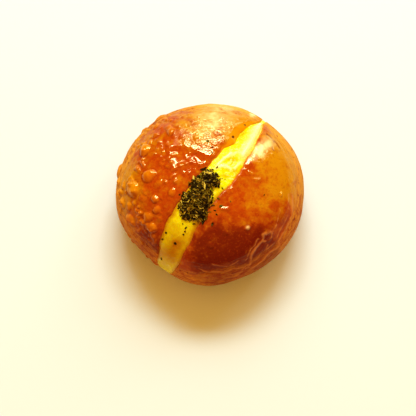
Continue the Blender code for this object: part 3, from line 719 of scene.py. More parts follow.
def lattice_noise(points, size, seed):
    """Return smooth noise from -1 to 1 whose features have the given size."""
    scaled = points / size
    base = np.floor(scaled).astype(np.int64)
    part = scaled - base
    part = part * part * (3.0 - 2.0 * part)
    total = np.zeros(len(points))
    for corner in itertools.product((0, 1), repeat=3):
        place = base + np.array(corner)
        mixed = place[:, 0] * 73856093 ^ place[:, 1] * 19349663 ^ place[:, 2] * 83492791
        mixed = (mixed ^ (seed * 668265263)) & 0x7FFFFFFF
        mixed = (mixed * 1103515245 + 12345) & 0x7FFFFFFF
        mixed = (mixed ^ (mixed >> 15)) * 69069 & 0x7FFFFFFF
        value = mixed / 0x3FFFFFFF - 1.0
        weight = np.prod(np.where(np.array(corner) == 1, part, 1.0 - part), axis=1)
        total += weight * value
    return total


def ring_places(points, pitch, length):
    """Return places for noise that is drawn out along the outline, one pitch apart outwards."""
    reach = np.hypot(points[:, 0], points[:, 1])
    bearing = np.arctan2(points[:, 1], points[:, 0])
    around = BUN_RADIUS / length
    return np.stack(
        [around * np.cos(bearing), around * np.sin(bearing), (reach - points[:, 2]) / pitch],
        axis=1,
    )


# ---------------------------------------------------------------- mesh tools


def plain_object(name, points, faces):
    """Link a new mesh object with the given points and faces."""
    mesh = bpy.data.meshes.new(name)
    mesh.from_pydata([tuple(point) for point in points], [], faces)
    mesh.validate()
    thing = bpy.data.objects.new(name, mesh)
    bpy.context.scene.collection.objects.link(thing)
    return thing


def mesh_points(mesh):
    """Return a mesh's points as an array."""
    values = np.empty(len(mesh.vertices) * 3)
    mesh.vertices.foreach_get("co", values)
    return values.reshape(-1, 3)


def set_mesh_points(mesh, points):
    """Move a mesh's points to the places of an array."""
    mesh.vertices.foreach_set("co", np.ascontiguousarray(points, dtype=np.float32).ravel())
    mesh.update()


def mesh_edges(mesh):
    """Return the two ends of each edge of a mesh."""
    values = np.empty(len(mesh.edges) * 2, dtype=np.int32)
    mesh.edges.foreach_get("vertices", values)
    return values.reshape(-1, 2)


def smoothed(points, edges, weights, rounds):
    """Pull points towards the middle of their neighbours, each by its weight."""
    ends = np.concatenate([edges, edges[:, ::-1]])
    count = np.bincount(ends[:, 0], minlength=len(points))[:, None]
    for _ in range(rounds):
        sums = [
            np.bincount(ends[:, 0], weights=points[ends[:, 1], axis], minlength=len(points))
            for axis in range(3)
        ]
        points = points + weights[:, None] * (np.stack(sums, axis=1) / count - points)
    return points


def settle(thing):
    """Apply an object's modifiers."""
    depsgraph = bpy.context.evaluated_depsgraph_get()
    mesh = bpy.data.meshes.new_from_object(thing.evaluated_get(depsgraph))
    thing.modifiers.clear()
    old = thing.data
    thing.data = mesh
    bpy.data.meshes.remove(old)
    mesh.name = thing.name


def combine(thing, operation, other):
    """Apply a Boolean with another object, then remove that object."""
    boolean = thing.modifiers.new("combine", "BOOLEAN")
    boolean.operation = operation
    boolean.object = other
    settle(thing)
    bpy.data.objects.remove(other, do_unlink=True)


def remesh(thing, voxel):
    """Rebuild an object's surface from even small faces."""
    modifier = thing.modifiers.new("remesh", "REMESH")
    modifier.mode = "VOXEL"
    modifier.voxel_size = voxel
    settle(thing)


def add_mask(mesh, name, values):
    """Store one number for each point, for the material to read."""
    layer = mesh.attributes.new(name, "FLOAT", "POINT")
    layer.data.foreach_set("value", np.ascontiguousarray(values, dtype=np.float32))


def smooth_bun(name):
    """Return the closed bun without relief or cut, flat underneath."""
    ball = bmesh.new()
    bmesh.ops.create_icosphere(ball, subdivisions=7, radius=1.0)
    points = np.array([vertex.co[:] for vertex in ball.verts])
    reach = np.array([BUN_RADIUS, BUN_RADIUS, CROWN_HEIGHT - EQUATOR_HEIGHT])
    points = to_dome(dome_middle() + points * reach)
    points[:, 2] = np.maximum(points[:, 2], 0.0)
    for vertex, place in zip(ball.verts, points):
        vertex.co = place
    mesh = bpy.data.meshes.new(name)
    ball.to_mesh(mesh)
    ball.free()
    thing = bpy.data.objects.new(name, mesh)
    bpy.context.scene.collection.objects.link(thing)
    return thing


def make_wedge(inset):
    """Return the solid of the cut, drawn in from its walls and floor by the inset."""
    sections = []
    for along in np.linspace(CUT_STATIONS[0][0], CUT_STATIONS[-1][0], CUT_STEPS_ALONG + 1):
        left, right = (float(edge) for edge in cut_edges(along))
        middle = 0.5 * (left + right)
        surface = float(dome_height(*from_cut(along, middle)))
        depth = max(surface - CUT_FLOOR_HEIGHT, CUT_LEAST_DEPTH)
        left_side = []
        right_side = []
        for step in range(CUT_STEPS_UP + 1):
            share = step / CUT_STEPS_UP
            height = CUT_FLOOR_HEIGHT + (CUT_TOP_HEIGHT - CUT_FLOOR_HEIGHT) * share
            opened = (height - CUT_FLOOR_HEIGHT) / depth
            half_floor = CUT_FLOOR_HALF_WIDTH
            to_left = half_floor + (left - middle - half_floor) * opened
            to_right = half_floor + (middle - right - half_floor) * opened
            raised = height + (inset if step == 0 else 0.0)
            left_side.append((*from_cut(along, middle + to_left - inset), raised))
            right_side.append((*from_cut(along, middle - to_right + inset), raised))
        sections.append(left_side + right_side[::-1])
    size = len(sections[0])
    points = [point for section in sections for point in section]
    faces = [tuple(range(size - 1, -1, -1))]
    for row, around in itertools.product(range(len(sections) - 1), range(size)):
        following = (around + 1) % size
        near, far = row * size, (row + 1) * size
        faces.append((near + around, near + following, far + following, far + around))
    faces.append(tuple(range((len(sections) - 1) * size, len(sections) * size)))
    wedge = plain_object("wedge", points, faces)
    body = bmesh.new()
    body.from_mesh(wedge.data)
    bmesh.ops.recalc_face_normals(body, faces=body.faces)
    body.to_mesh(wedge.data)
    body.free()
    return wedge


# ---------------------------------------------------------------- materials


class Field:
    """A number that varies over a surface. Sums with it add nodes to its material."""

    def __init__(self, look, socket):
        self.look = look
        self.socket = socket

    def __add__(self, other):
        return self.look.math("ADD", self, other)

    def __sub__(self, other):
        return self.look.math("SUBTRACT", self, other)

    def __rsub__(self, other):
        return self.look.math("SUBTRACT", other, self)

    def __mul__(self, other):
        return self.look.math("MULTIPLY", self, other)

    __radd__ = __add__
    __rmul__ = __mul__

    def most(self, other):
        """Return the greater of this value and another."""
        return self.look.math("MAXIMUM", self, other)

    def ramp(self, low, high):
        """Return the value spread smoothly, from 0 at the low to 1 at the high."""
        made = self.look.node(
            "ShaderNodeMapRange", {"Value": self, "From Min": low, "From Max": high},
            interpolation_type="SMOOTHSTEP",
        )
        return Field(self.look, made.outputs["Result"])


class Shading:
    """A small helper that adds nodes to one material and links them."""

    def __init__(self, name):
        self.material = bpy.data.materials.new(name)
        self.material.use_nodes = True
        self.tree = self.material.node_tree
        self.shader = self.tree.nodes["Principled BSDF"]
        self.place = self.node("ShaderNodeTexCoord").outputs["Object"]

    def node(self, kind, inputs=None, **settings):
        """Add a node, set its fields and fill its inputs with values or links."""
        made = self.tree.nodes.new(kind)
        for field, value in settings.items():
            setattr(made, field, value)
        for key, value in (inputs or {}).items():
            self.fill(made.inputs[key], value)
        return made

    def fill(self, socket, value):
        """Link an output to a socket, or store a value in it."""
        if isinstance(value, Field):
            value = value.socket
        if isinstance(value, bpy.types.NodeSocket):
            self.tree.links.new(value, socket)
        elif socket.type == "RGBA":
            socket.default_value = (*value, 1.0)
        else:
            socket.default_value = value

    def finish(self, inputs):
        """Fill the shader's inputs and return the material."""
        for key, value in inputs.items():
            self.fill(self.shader.inputs[key], value)
        return self.material

    def mask(self, name):
        """Return a stored number of the mesh."""
        return Field(self, self.node("ShaderNodeAttribute", attribute_name=name).outputs["Fac"])

    def math(self, operation, first, second):
        """Return the result of one sum on two values."""
        made = self.node("ShaderNodeMath", {0: first, 1: second}, operation=operation)
        return Field(self, made.outputs["Value"])

    def vector_math(self, operation, inputs):
        """Return the outputs of one sum on vectors."""
        return self.node("ShaderNodeVectorMath", inputs, operation=operation).outputs

    def rings(self, pitch, length):
        """Return places for noise that is drawn out along the bun's outline."""
        split = self.node("ShaderNodeSeparateXYZ", {"Vector": self.place}).outputs
        flat = self.node("ShaderNodeCombineXYZ", {"X": split["X"], "Y": split["Y"]}).outputs[0]
        reach = self.vector_math("LENGTH", {0: flat})["Value"]
        outward = self.math("DIVIDE", self.math("SUBTRACT", reach, split["Z"]), pitch)
        around = self.vector_math("NORMALIZE", {0: flat})[0]
        scaled = self.vector_math("SCALE", {0: around, "Scale": BUN_RADIUS / length})[0]
        rise = self.node("ShaderNodeCombineXYZ", {"Z": outward}).outputs[0]
        return self.vector_math("ADD", {0: scaled, 1: rise})[0]

    def noise(self, size, detail=3.0, roughness=0.55, distortion=0.0, place=None):
        """Return noise from 0 to 1 with features of the given size."""
        inputs = {
            "Vector": place or self.place, "Scale": 1.0 / size, "Detail": detail,
            "Roughness": roughness, "Distortion": distortion,
        }
        return Field(self, self.node("ShaderNodeTexNoise", inputs).outputs["Fac"])

    def coats(self, colour, *coats):
        """Return a colour under coats of other colours, each with its share."""
        for share, coat in coats:
            made = self.node("ShaderNodeMix", {0: share, 6: colour, 7: coat}, data_type="RGBA")
            colour = made.outputs[2]
        return colour

    def bump(self, height, distance, normal=None):
        """Return surface directions bent by a height."""
        inputs = {"Height": height, "Distance": distance}
        if normal is not None:
            inputs["Normal"] = normal
        return self.node("ShaderNodeBump", inputs).outputs["Normal"]


def crust_material(settings):
    """Return the glazed crust with its patches, blisters, streaked side, crumb and base."""
    look = Shading("egg_bun_crust")
    mask = look.mask
    flecks = 0.8 * (look.noise(2.2 * MM, detail=2.0, roughness=0.5, distortion=0.4) - 0.5)
    uneven = 1.9 * (look.noise(5.5 * MM, detail=2.0, roughness=0.5, distortion=0.3) - 0.5) + flecks
    grain = look.noise(1.2 * MM, roughness=0.6, distortion=0.5)
    burnt = (mask("scorch") - 0.6 * uneven).ramp(0.05, 1.0)
    pale_specks = look.noise(0.9 * MM, detail=2.0).ramp(0.60, 0.80)
    patches = look.noise(3.2 * MM, roughness=0.6, distortion=0.8)
    streaks = 0.7 * look.noise(
        1.0, detail=4.0, roughness=0.7, distortion=1.6, place=look.rings(2.6 * MM, 8.0 * MM)
    ) + 0.3 * patches
    wall = (mask("wall") + (streaks - 0.5)).ramp(0.3, 0.85)
    low = mask("low")
    wall_colour = look.coats(
        settings.wall_dark,
        ((streaks + 0.09 * mask("golden")).ramp(0.39, 0.61), settings.wall),
        (low * (0.7 * low + 0.2 * patches), settings.side),
    )
    blister = mask("blister")
    fresh = 0.55 - 0.4 * burnt
    wrinkle = mask("wrinkle") * flecks.ramp(-0.7, 0.1)
    spots = look.noise(3.4 * MM, detail=1.0).ramp(0.68, 0.74)
    base = mask("base")
    colour = look.coats(
        settings.body,
        ((mask("golden") + uneven).ramp(-0.15, 1.1), settings.golden),
        (0.30 * grain.ramp(0.52, 0.72), settings.golden),
        (0.30 * grain.ramp(0.48, 0.28), settings.dark),
        (burnt * (1.0 - 0.38 * grain.ramp(0.50, 0.72)), settings.dark),
        (pale_specks * (0.07 - 0.07 * burnt), settings.cream_and_highlight),
        (wall * (0.9 - 0.45 * burnt), wall_colour),
        # Painted shade at each blister's front-left foot, and the dark cracks of the crust.
        (0.75 * mask("crack_and_shade"), settings.dark),
        (blister * fresh, settings.blister),
        # Painted glow: lighter golden ring at each blister's rim, for light shining through its
        # thin skin.
        (mask("blister_rim_glow") * flecks.ramp(-0.3, 0.4) * fresh, settings.blister),
        # Painted highlight and painted reflection: pale cream in the highlight zones.
        ((mask("pale_and_highlight") * (uneven + 1.0)).ramp(0.1, 0.95), settings.cream_and_highlight),
        (0.75 * wrinkle, settings.tan),
        (0.7 * (wall * spots), settings.dark),
        (0.85 * mask("lip"), settings.amber),
        (mask("burn"), linear(58, 12, 6)),
        (mask("crumb"), settings.crumb),
        (base, settings.underside),
    )

    matt = base.most(mask("crumb")).most(0.85 * wall).most(0.75 * wrinkle)
    for name, share in (("seam", 0.95), ("rim", 0.6), ("scorch", 0.22), ("sheen", 0.08)):
        matt = matt.most(share * mask(name))
    rough = look.node("ShaderNodeMapRange", {"Value": matt, "To Min": 0.07, "To Max": 0.85})

    smooth = (1.0 - 0.8 * mask("lip").most(mask("calm"))) * (1.0 - 0.7 * blister)
    skin = look.noise(2.4 * MM, distortion=1.2)
    fine = look.noise(0.8 * MM, detail=2.0, distortion=1.0)
    ripples = look.noise(1.0, detail=2.0, distortion=0.7, place=look.rings(1.0 * MM, 4.0 * MM))
    normal = look.bump(skin * smooth, 0.08 * MM)
    normal = look.bump(fine * smooth, 0.03 * MM, normal)
    normal = look.bump(ripples * (smooth * (0.15 + mask("sheen"))), 0.22 * MM, normal)
    normal = look.bump(streaks * wall, 0.5 * MM, normal)
    return look.finish({
        "Base Color": colour, "Roughness": rough.outputs["Result"], "IOR": 1.64,
        "Specular Tint": (1.0, 1.0, 0.56), "Normal": normal,
    })


def filling_material(settings):
    """Return the moist yellow egg salad."""
    look = Shading("egg_bun_filling")
    cloud = look.noise(7.0 * MM, detail=2.0, distortion=0.4)
    grain = look.noise(1.0 * MM)
    streaks = look.noise(2.6 * MM, roughness=0.6, distortion=2.0).ramp(0.5, 0.68)
    colour = look.coats(
        settings.body,
        (0.35 * cloud.ramp(0.45, 0.75), settings.deep_and_shade),
        (0.15 * grain.ramp(0.55, 0.8), settings.pale_and_highlight),
        # Painted highlights: pale streaks on the upper part of the filling.
        (0.6 * (streaks * look.mask("upper")), settings.pale_and_highlight),
        # Deeper yolk colour, darker at the lips' edges and towards the lower end, with painted
        # shade in the hollows and beside the rolled lip.
        (look.mask("depth") * (1.0 + 0.5 * (cloud - 0.5)), settings.deep_and_shade),
        # Painted highlights on the fold crests.
        (look.mask("fold_highlight"), settings.pale_and_highlight),
    )
    normal = look.bump(grain, 0.05 * MM, look.bump(look.noise(2.4 * MM), 0.14 * MM))
    return look.finish({
        "Base Color": colour, "Roughness": 0.2, "IOR": 1.5, "Specular Tint": (1.0, 0.9, 0.35),
        "Subsurface Weight": 0.35, "Subsurface Radius": (1.0, 0.55, 0.06),
        "Subsurface Scale": 2.2 * MM, "Normal": normal,
    })


def parsley_material(settings):
    """Return the dried leaf, whose colour changes from flake to flake."""
    look = Shading("egg_bun_parsley")
    grain = look.noise(0.5 * MM, detail=2.0)
    tone = look.mask("tone") + 0.3 * (grain - 0.5)
    colour = look.coats(
        settings.dark,
        (tone.ramp(0.3, 0.75), settings.green),
        (tone.ramp(0.86, 0.97), settings.straw),
    )
    return look.finish({
        "Base Color": colour, "Roughness": 0.55, "IOR": 1.4, "Specular Tint": (1.0, 0.9, 0.4),
        "Normal": look.bump(grain, 0.05 * MM),
    })


def floor_material(settings):
    """Return the plain pale floor."""
    look = Shading("egg_bun_floor")
    cloud = look.noise(120.0 * MM, detail=2.0)
    colour = look.coats(settings.floor, (0.03 * cloud, linear(236, 226, 200)))
    return look.finish({"Base Color": colour, "Roughness": 0.5})


# ---------------------------------------------------------------- crust


def stray_noise(points, size, seed):
    """Return smooth noise in three directions, by three seeds in a row."""
    return np.stack([lattice_noise(points, size, seed + axis) for axis in range(3)], axis=1)


def crust_relief(points, settings):
    """Return how far the crust stands out, and the masks of its blisters and wrinkles."""
    stray = stray_noise(points, STRAY_LENGTH, 21)
    fine_stray = stray_noise(points, FINE_STRAY_LENGTH, 25)
    strayed = points + STRAY_REACH * stray + FINE_STRAY_REACH * fine_stray
    relief = broad_relief(points)
    for x, y, radius, depth in DENTS:
        relief -= depth * bell(distance_share(strayed, x, y, radius), 1.0)
    names = ("blister", "blister_rim_glow", "crack_and_shade", "wrinkle")
    masks = {name: np.zeros(len(points)) for name in names}
    glints = tuple((*glint, GLINT_HEIGHT) for glint in GLINTS)
    drawn = small_blisters() + rim_blisters() + tiny_blisters()
    draw = random.Random(7)
    for x, y, radius, height in BLISTERS + glints + drawn:
        stretch, turn = draw.uniform(1.0, BLISTER_STRETCH), draw.uniform(0.0, math.pi)
        share, frontward = blister_share(strayed, x, y, radius, stretch, turn)
        bump = np.clip(1.0 - share ** 3, 0.0, 1.0)
        relief += BLISTER_SWELL * height * bump
        strength = smooth_step(0.1 * MM, 0.7 * MM, height) * draw.uniform(0.55, 1.0)
        shares = {
            "blister": np.sqrt(bump),
            # Painted glow: a lighter ring round each blister, for light shining through its thin
            # skin.
            "blister_rim_glow": bell(share - 0.8, 0.15),
            # Painted shade: a dark ring at the foot of each blister, on its front-left side away
            # from the light.
            "crack_and_shade": bell(share - 1.1, 0.14) * smooth_step(-0.5, 0.6, frontward),
        }
        for name, values in shares.items():
            masks[name] = np.maximum(masks[name], strength * values)
    faded = 0.75 + 0.45 * lattice_noise(points, 2.5 * MM, 24)
    for half_width, height, paleness, places in WRINKLES:
        if paleness == 0.0:
            distance = polyline_distance(points + FINE_STRAY_REACH * stray, places)
            relief += height * np.clip(1.0 - distance / half_width, 0.0, 1.0)
            continue
        distance = polyline_distance(strayed, places)
        ridge = bell(distance, half_width)
        relief += height * faded * (ridge - 0.35 * bell(distance, 2.4 * half_width))
        name = "wrinkle" if paleness > 0.0 else "crack_and_shade"
        masks[name] = np.maximum(masks[name], abs(paleness) * ridge)
    relief += LUMP_HEIGHT * lattice_noise(points, LUMP_LENGTH, 4)
    on_left = smooth_step(-2.0 * MM, 8.0 * MM, along_and_aside(points[:, 0], points[:, 1])[1])
    wavy = lattice_noise(points + 1.5 * MM * stray, FINE_WAVE_LENGTH, 5)
    calm = zone_share(points, CALM_ZONES)
    relief += settings.ripple * (0.35 + 0.65 * on_left) * (1.0 - calm) * wavy
    rings = ring_places(points + 0.5 * MM * stray, RING_RIDGE_PITCH, RING_RIDGE_LENGTH)
    towards_rim = smooth_step(44.0 * MM, 34.0 * MM, points[:, 2])
    relief += RING_RIDGE_HEIGHT * towards_rim * lattice_noise(rings, 1.0, 6)
    return relief, masks


def side_share(points):
    """Return how far each point belongs to the unglazed side."""
    uneven = SIDE_EDGE_WAVES * lattice_noise(points, SIDE_EDGE_WAVE_LENGTH, 12)
    upper = SIDE_TOP_ON_LEFT + SIDE_TOP_RISE * smooth_step(-20.0 * MM, 15.0 * MM, points[:, 0])
    return smooth_step(0.0, -SIDE_EDGE_WIDTH, points[:, 2] + uneven - upper)


def lip_distance(points):
    """Return each point's distance aside from the nearer edge of the cut."""
    along, aside = along_and_aside(points[:, 0], points[:, 1])
    left, right = cut_edges(along)
    return np.minimum(np.abs(aside - left), np.abs(aside - right))


def lip_share(points):
    """Return how far each point belongs to the smooth lips beside the cut."""
    along, aside = along_and_aside(points[:, 0], points[:, 1])
    left, right = cut_edges(along)
    on_left = aside > 0.5 * (left + right)
    rolled = rolled_share(along) * on_left
    width = LIP_SHEEN_WIDTH + (ROLLED_SHEEN_WIDTH - LIP_SHEEN_WIDTH) * rolled
    beyond = np.where(on_left, aside - left, right - aside)
    glossy = 0.1 + 0.9 * smooth_step(-8.0 * MM, 12.0 * MM, along)
    return glossy * smooth_step(1.0, 0.4, beyond / width)


def thin_out(thing, weights, kept):
    """Merge small faces at the weighted points, down to the kept share of all faces."""
    group = thing.vertex_groups.new(name="plain")
    group.add(np.flatnonzero(weights > 0.5).tolist(), 1.0, "REPLACE")
    modifier = thing.modifiers.new("decimate", "DECIMATE")
    modifier.vertex_group = group.name
    modifier.ratio = kept
    settle(thing)


def make_crust(settings):
    """Make the bread from the smooth bun, the cut and the relief."""
    crust = smooth_bun("crust")
    combine(crust, "DIFFERENCE", make_wedge(0.0))
    remesh(crust, settings.voxel)
    points = mesh_points(crust.data)
    hidden = (points[:, 2] < 0.3 * MM) | (dome_measure(points) < HIDDEN_MEASURE)
    thin_out(crust, hidden, 1.0 - 0.9 * hidden.mean())
    mesh = crust.data
    points = mesh_points(mesh)
    edges = mesh_edges(mesh)
    above_floor = points[:, 2] > 0.4 * MM
    outside = smooth_step(*SKIN_MEASURES, dome_measure(points)) * above_floor
    points = points + outside[:, None] * (to_dome(points) - points)
    inside = (1.0 - outside) * above_floor
    points = smoothed(points, edges, 0.5 * inside, 8)
    lip = outside * smooth_step(2.0 * MM, 0.6 * MM, lip_distance(points))
    points = smoothed(points, edges, 0.5 * np.maximum(lip, inside), 6)
    relief, masks = crust_relief(points, settings)
    wall = side_share(points)
    above_base = smooth_step(0.3 * MM, 3.0 * MM, points[:, 2])
    points = points + (dome_normals(points) * (relief * outside * above_base)[:, None])
    fade = np.clip((points[:, 2] - EQUATOR_HEIGHT) / LIP_FADE_HEIGHT, 0.0, 1.0)
    points[:, 2] -= lip_drop(points[:, 0], points[:, 1]) * fade
    points[:, 2] = np.maximum(points[:, 2], 0.0)
    set_mesh_points(mesh, points)

    height = points[:, 2]
    unrolled = 1.0 - rolled_share(along_and_aside(points[:, 0], points[:, 1])[0])
    frontward = 0.5 + 0.5 * smooth_step(5.0 * MM, -20.0 * MM, points[:, 1])
    masks = {name: values * outside for name, values in masks.items()}
    # The zone masks include the zones of painted highlight and painted reflection.
    masks.update((name, zone_share(points, zones)) for name, zones in CRUST_ZONES.items())
    masks.update({
        "seam": unrolled * smooth_step(1.8 * MM, 0.6 * MM, lip_distance(points)),
        "rim": frontward * smooth_step(44.0 * MM, 36.0 * MM, height),
        "wall": wall,
        "low": smooth_step(23.0 * MM, 10.0 * MM, height),
        "lip": lip_share(points),
        "crumb": (1.0 - outside) * (height > 5.0 * MM),
        "base": smooth_step(2.5 * MM, 0.6 * MM, height),
        "burn": burn_mask(points),
    })
    for name, values in masks.items():
        add_mask(mesh, name, values)
    mesh.materials.append(crust_material(settings))
    mesh.shade_smooth()
    return crust


def burn_mask(points):
    """Return where the crust has its few burnt specks."""
    mask = np.zeros(len(points))
    for x, y, radius in BURNT_SPECKS:
        reach = np.hypot(points[:, 0] - x, points[:, 1] - y)
        mask = np.maximum(mask, smooth_step(1.3 * radius, 0.5 * radius, reach))
    return mask * (points[:, 2] > EQUATOR_HEIGHT)


# ---------------------------------------------------------------- filling


def filling_relief(points):
    """Return how far the filling stands out from the smooth bun, or lies under it if negative."""
    along, aside = along_and_aside(points[:, 0], points[:, 1])
    on_top = np.clip((points[:, 2] - EQUATOR_HEIGHT) / (FILLING_END_HEIGHT - EQUATOR_HEIGHT), 0, 1)
    left, right = cut_edges(along)
    edge_share = np.clip((2.0 * aside - left - right) / (left - right), -1.0, 1.0)
    edge_depth = LIP_DROP - FILLING_OVER_LIP - FILLING_RECESS
    relief = -FILLING_RECESS - edge_depth * np.abs(edge_share) ** 3
    relief -= ROLLED_LIP_DROP * rolled_share(along) * np.maximum(edge_share, 0.0) ** 2
    inside = smooth_step(1.0, 0.7, np.abs(edge_share))
    for half_width, height, _, places in FILLING_FOLDS:
        relief += height * inside * bell(polyline_distance(points, places), half_width)
    for x, y, radius, depth in FILLING_HOLLOWS:
        relief -= depth * inside * bell(distance_share(points, x, y, radius), 1.0)
    return broad_relief(points) + relief * on_top - FILLING_END_RECESS * (1.0 - on_top)


def make_filling(settings):
    """Make the egg salad that fills the cut from end to end."""
    filling = smooth_bun("egg_salad")
    mesh = filling.data
    points = mesh_points(mesh)
    raised = points + dome_normals(points) * filling_relief(points)[:, None]
    raised[:, 2] = np.maximum(raised[:, 2], 0.0)
    set_mesh_points(mesh, raised)
    combine(filling, "INTERSECT", make_wedge(-FILLING_OVERLAP))
    remesh(filling, settings.voxel)
    mesh = filling.data
    points = mesh_points(mesh)
    points = smoothed(points, mesh_edges(mesh), np.full(len(points), 0.5), 6)
    grain = lattice_noise(points, 1.6 * MM, 8) + 0.6 * lattice_noise(points, 4.0 * MM, 9)
    top = smooth_step(0.90, 0.96, dome_measure(points))
    points = points + dome_normals(points) * (0.08 * MM * grain * top)[:, None]
    set_mesh_points(mesh, points)

    along = along_and_aside(points[:, 0], points[:, 1])[0]
    lower_end = smooth_step(6.0 * MM, -12.0 * MM, along)
    rim = smooth_step(0.6 * MM + 2.4 * MM * lower_end, 0.0, lip_distance(points))
    # Darker at the lips' edges and towards the lower end, plus the zones, some of which are
    # painted shade.
    depth = np.maximum(rim * (0.25 + 0.6 * lower_end), zone_share(points, FILLING_DEEP_AND_SHADE_ZONES))
    # Painted highlights: the fold crests are painted pale where they catch the light.
    fold_highlight = np.zeros(len(points))
    for half_width, _, paleness, places in FILLING_FOLDS:
        ridge = bell(polyline_distance(points, places), 1.3 * half_width)
        fold_highlight = np.maximum(fold_highlight, paleness * ridge)
    add_mask(mesh, "upper", 1.0 - 0.8 * lower_end)
    add_mask(mesh, "depth", depth)
    add_mask(mesh, "fold_highlight", 0.95 * fold_highlight)
    mesh.materials.append(filling_material(settings))
    mesh.shade_smooth()
    return filling


# ---------------------------------------------------------------- parsley


def ground_finder(things):
    """Return a function giving the highest surface of the objects over a place."""
    trees = []
    for thing in things:
        points = mesh_points(thing.data)
        polygons = [tuple(face.vertices) for face in thing.data.polygons]
        trees.append(BVHTree.FromPolygons([tuple(point) for point in points], polygons))
    down = Vector((0.0, 0.0, -1.0))

    def ground(x, y):
        hits = [tree.ray_cast(Vector((x, y, 0.1)), down) for tree in trees]
        found = [(hit[0].z, hit[1]) for hit in hits if hit[0] is not None]
        return max(found, key=lambda pair: pair[0])

    return ground


def heap_rise(x, y):
    """Return how high the heap stands over a place."""
    rise = 0.0
    for lobe_x, lobe_y, radius in HEAP_LOBES:
        share = math.hypot(x - lobe_x, y - lobe_y) / radius
        height = HEAP_HEIGHT * math.sqrt(radius / HEAP_LOBES[1][2])
        rise = max(rise, height * math.sqrt(max(0.0, 1.0 - share ** 2)))
    return rise


def flake_mesh_data(centre, radius, thickness, turn, draw, longer=None):
    """Return the points and faces of one thin curled flake with an uneven edge."""
    sides = draw.choice((6, 7, 8))
    start = draw.uniform(0.0, 2.0 * math.pi)
    longer = longer or draw.uniform(1.0, 1.7)
    curl = draw.uniform(-0.55, 0.55) / radius
    twist = draw.uniform(-0.35, 0.35) / radius
    flat = [(0.0, 0.0)]
    for side in range(sides):
        angle = start + 2.0 * math.pi * side / sides
        reach = radius * draw.uniform(0.55, 1.15)
        flat.append((reach * longer * math.cos(angle), reach * math.sin(angle) / longer))
    points = []
    for level in (-0.5, 0.5):
        for x, y in flat:
            rise = level * thickness + curl * x * x + twist * x * y
            points.append(centre + turn @ Vector((x, y, rise)))
    faces = []
    upper = sides + 1
    for side in range(1, sides + 1):
        after = side % sides + 1
        faces.append((0, after, side))
        faces.append((upper, upper + side, upper + after))
        faces.append((side, after, upper + after, upper + side))
    return points, faces


def flake_turn(normal, most, draw):
    """Return a turn that lays a flake on a slope, with a lean of at most the given degrees."""
    lay = Vector((0.0, 0.0, 1.0)).rotation_difference(normal).to_matrix()
    spin = Matrix.Rotation(draw.uniform(0.0, 2.0 * math.pi), 3, "Z")
    lean = Matrix.Rotation(math.radians(draw.uniform(0.0, most)), 3, "X")
    return lay @ spin @ lean


class FlakePile:
    """Collects flakes and turns them into one mesh."""

    def __init__(self):
        self.points = []
        self.faces = []
        self.tones = []

    def add(self, points, faces, tone):
        """Add one flake of the given tone."""
        first = len(self.points)
        self.points.extend(points)
        self.faces.extend(tuple(first + index for index in face) for face in faces)
        self.tones.extend([tone] * len(points))

    def to_object(self, name, material):
        """Return the joined mesh as an object."""
        pile = plain_object(name, self.points, self.faces)
        add_mask(pile.data, "tone", np.array(self.tones))
        pile.data.materials.append(material)
        return pile


def add_heap_lobe(pile, ground, lobe):
    """Add the dense inside of a lobe, which takes the darkest flake tone as painted shade between
    the flakes.
    """
    points = []
    for is_upper in (False, True):
        for ring in range(HEAP_LOBE_RINGS + 1):
            reach = HEAP_CORE_REACH * lobe[2] * ring / HEAP_LOBE_RINGS
            for spoke in range(HEAP_LOBE_SPOKES if ring else 1):
                angle = 2.0 * math.pi * spoke / HEAP_LOBE_SPOKES
                x, y = lobe[0] + reach * math.cos(angle), lobe[1] + reach * math.sin(angle)
                height = ground(x, y)[0] - HEAP_CORE_SINK
                if is_upper:
                    height += HEAP_CORE_SHARE * heap_rise(x, y)
                points.append(Vector((x, y, height)))
    faces = []
    layer = 1 + HEAP_LOBE_RINGS * HEAP_LOBE_SPOKES
    rim = layer - HEAP_LOBE_SPOKES
    for spoke in range(HEAP_LOBE_SPOKES):
        after = (spoke + 1) % HEAP_LOBE_SPOKES
        patches = [(0, 1 + spoke, 1 + after)]
        for inner in range(1, rim, HEAP_LOBE_SPOKES):
            outer = inner + HEAP_LOBE_SPOKES
            patches.append((inner + spoke, outer + spoke, outer + after, inner + after))
        for patch in patches:
            faces.append(patch[::-1])
            faces.append(tuple(layer + index for index in patch))
        faces.append((rim + spoke, rim + after, layer + rim + after, layer + rim + spoke))
    # Painted shade: the inside takes the darkest flake tone.
    pile.add(points, faces, 0.0)


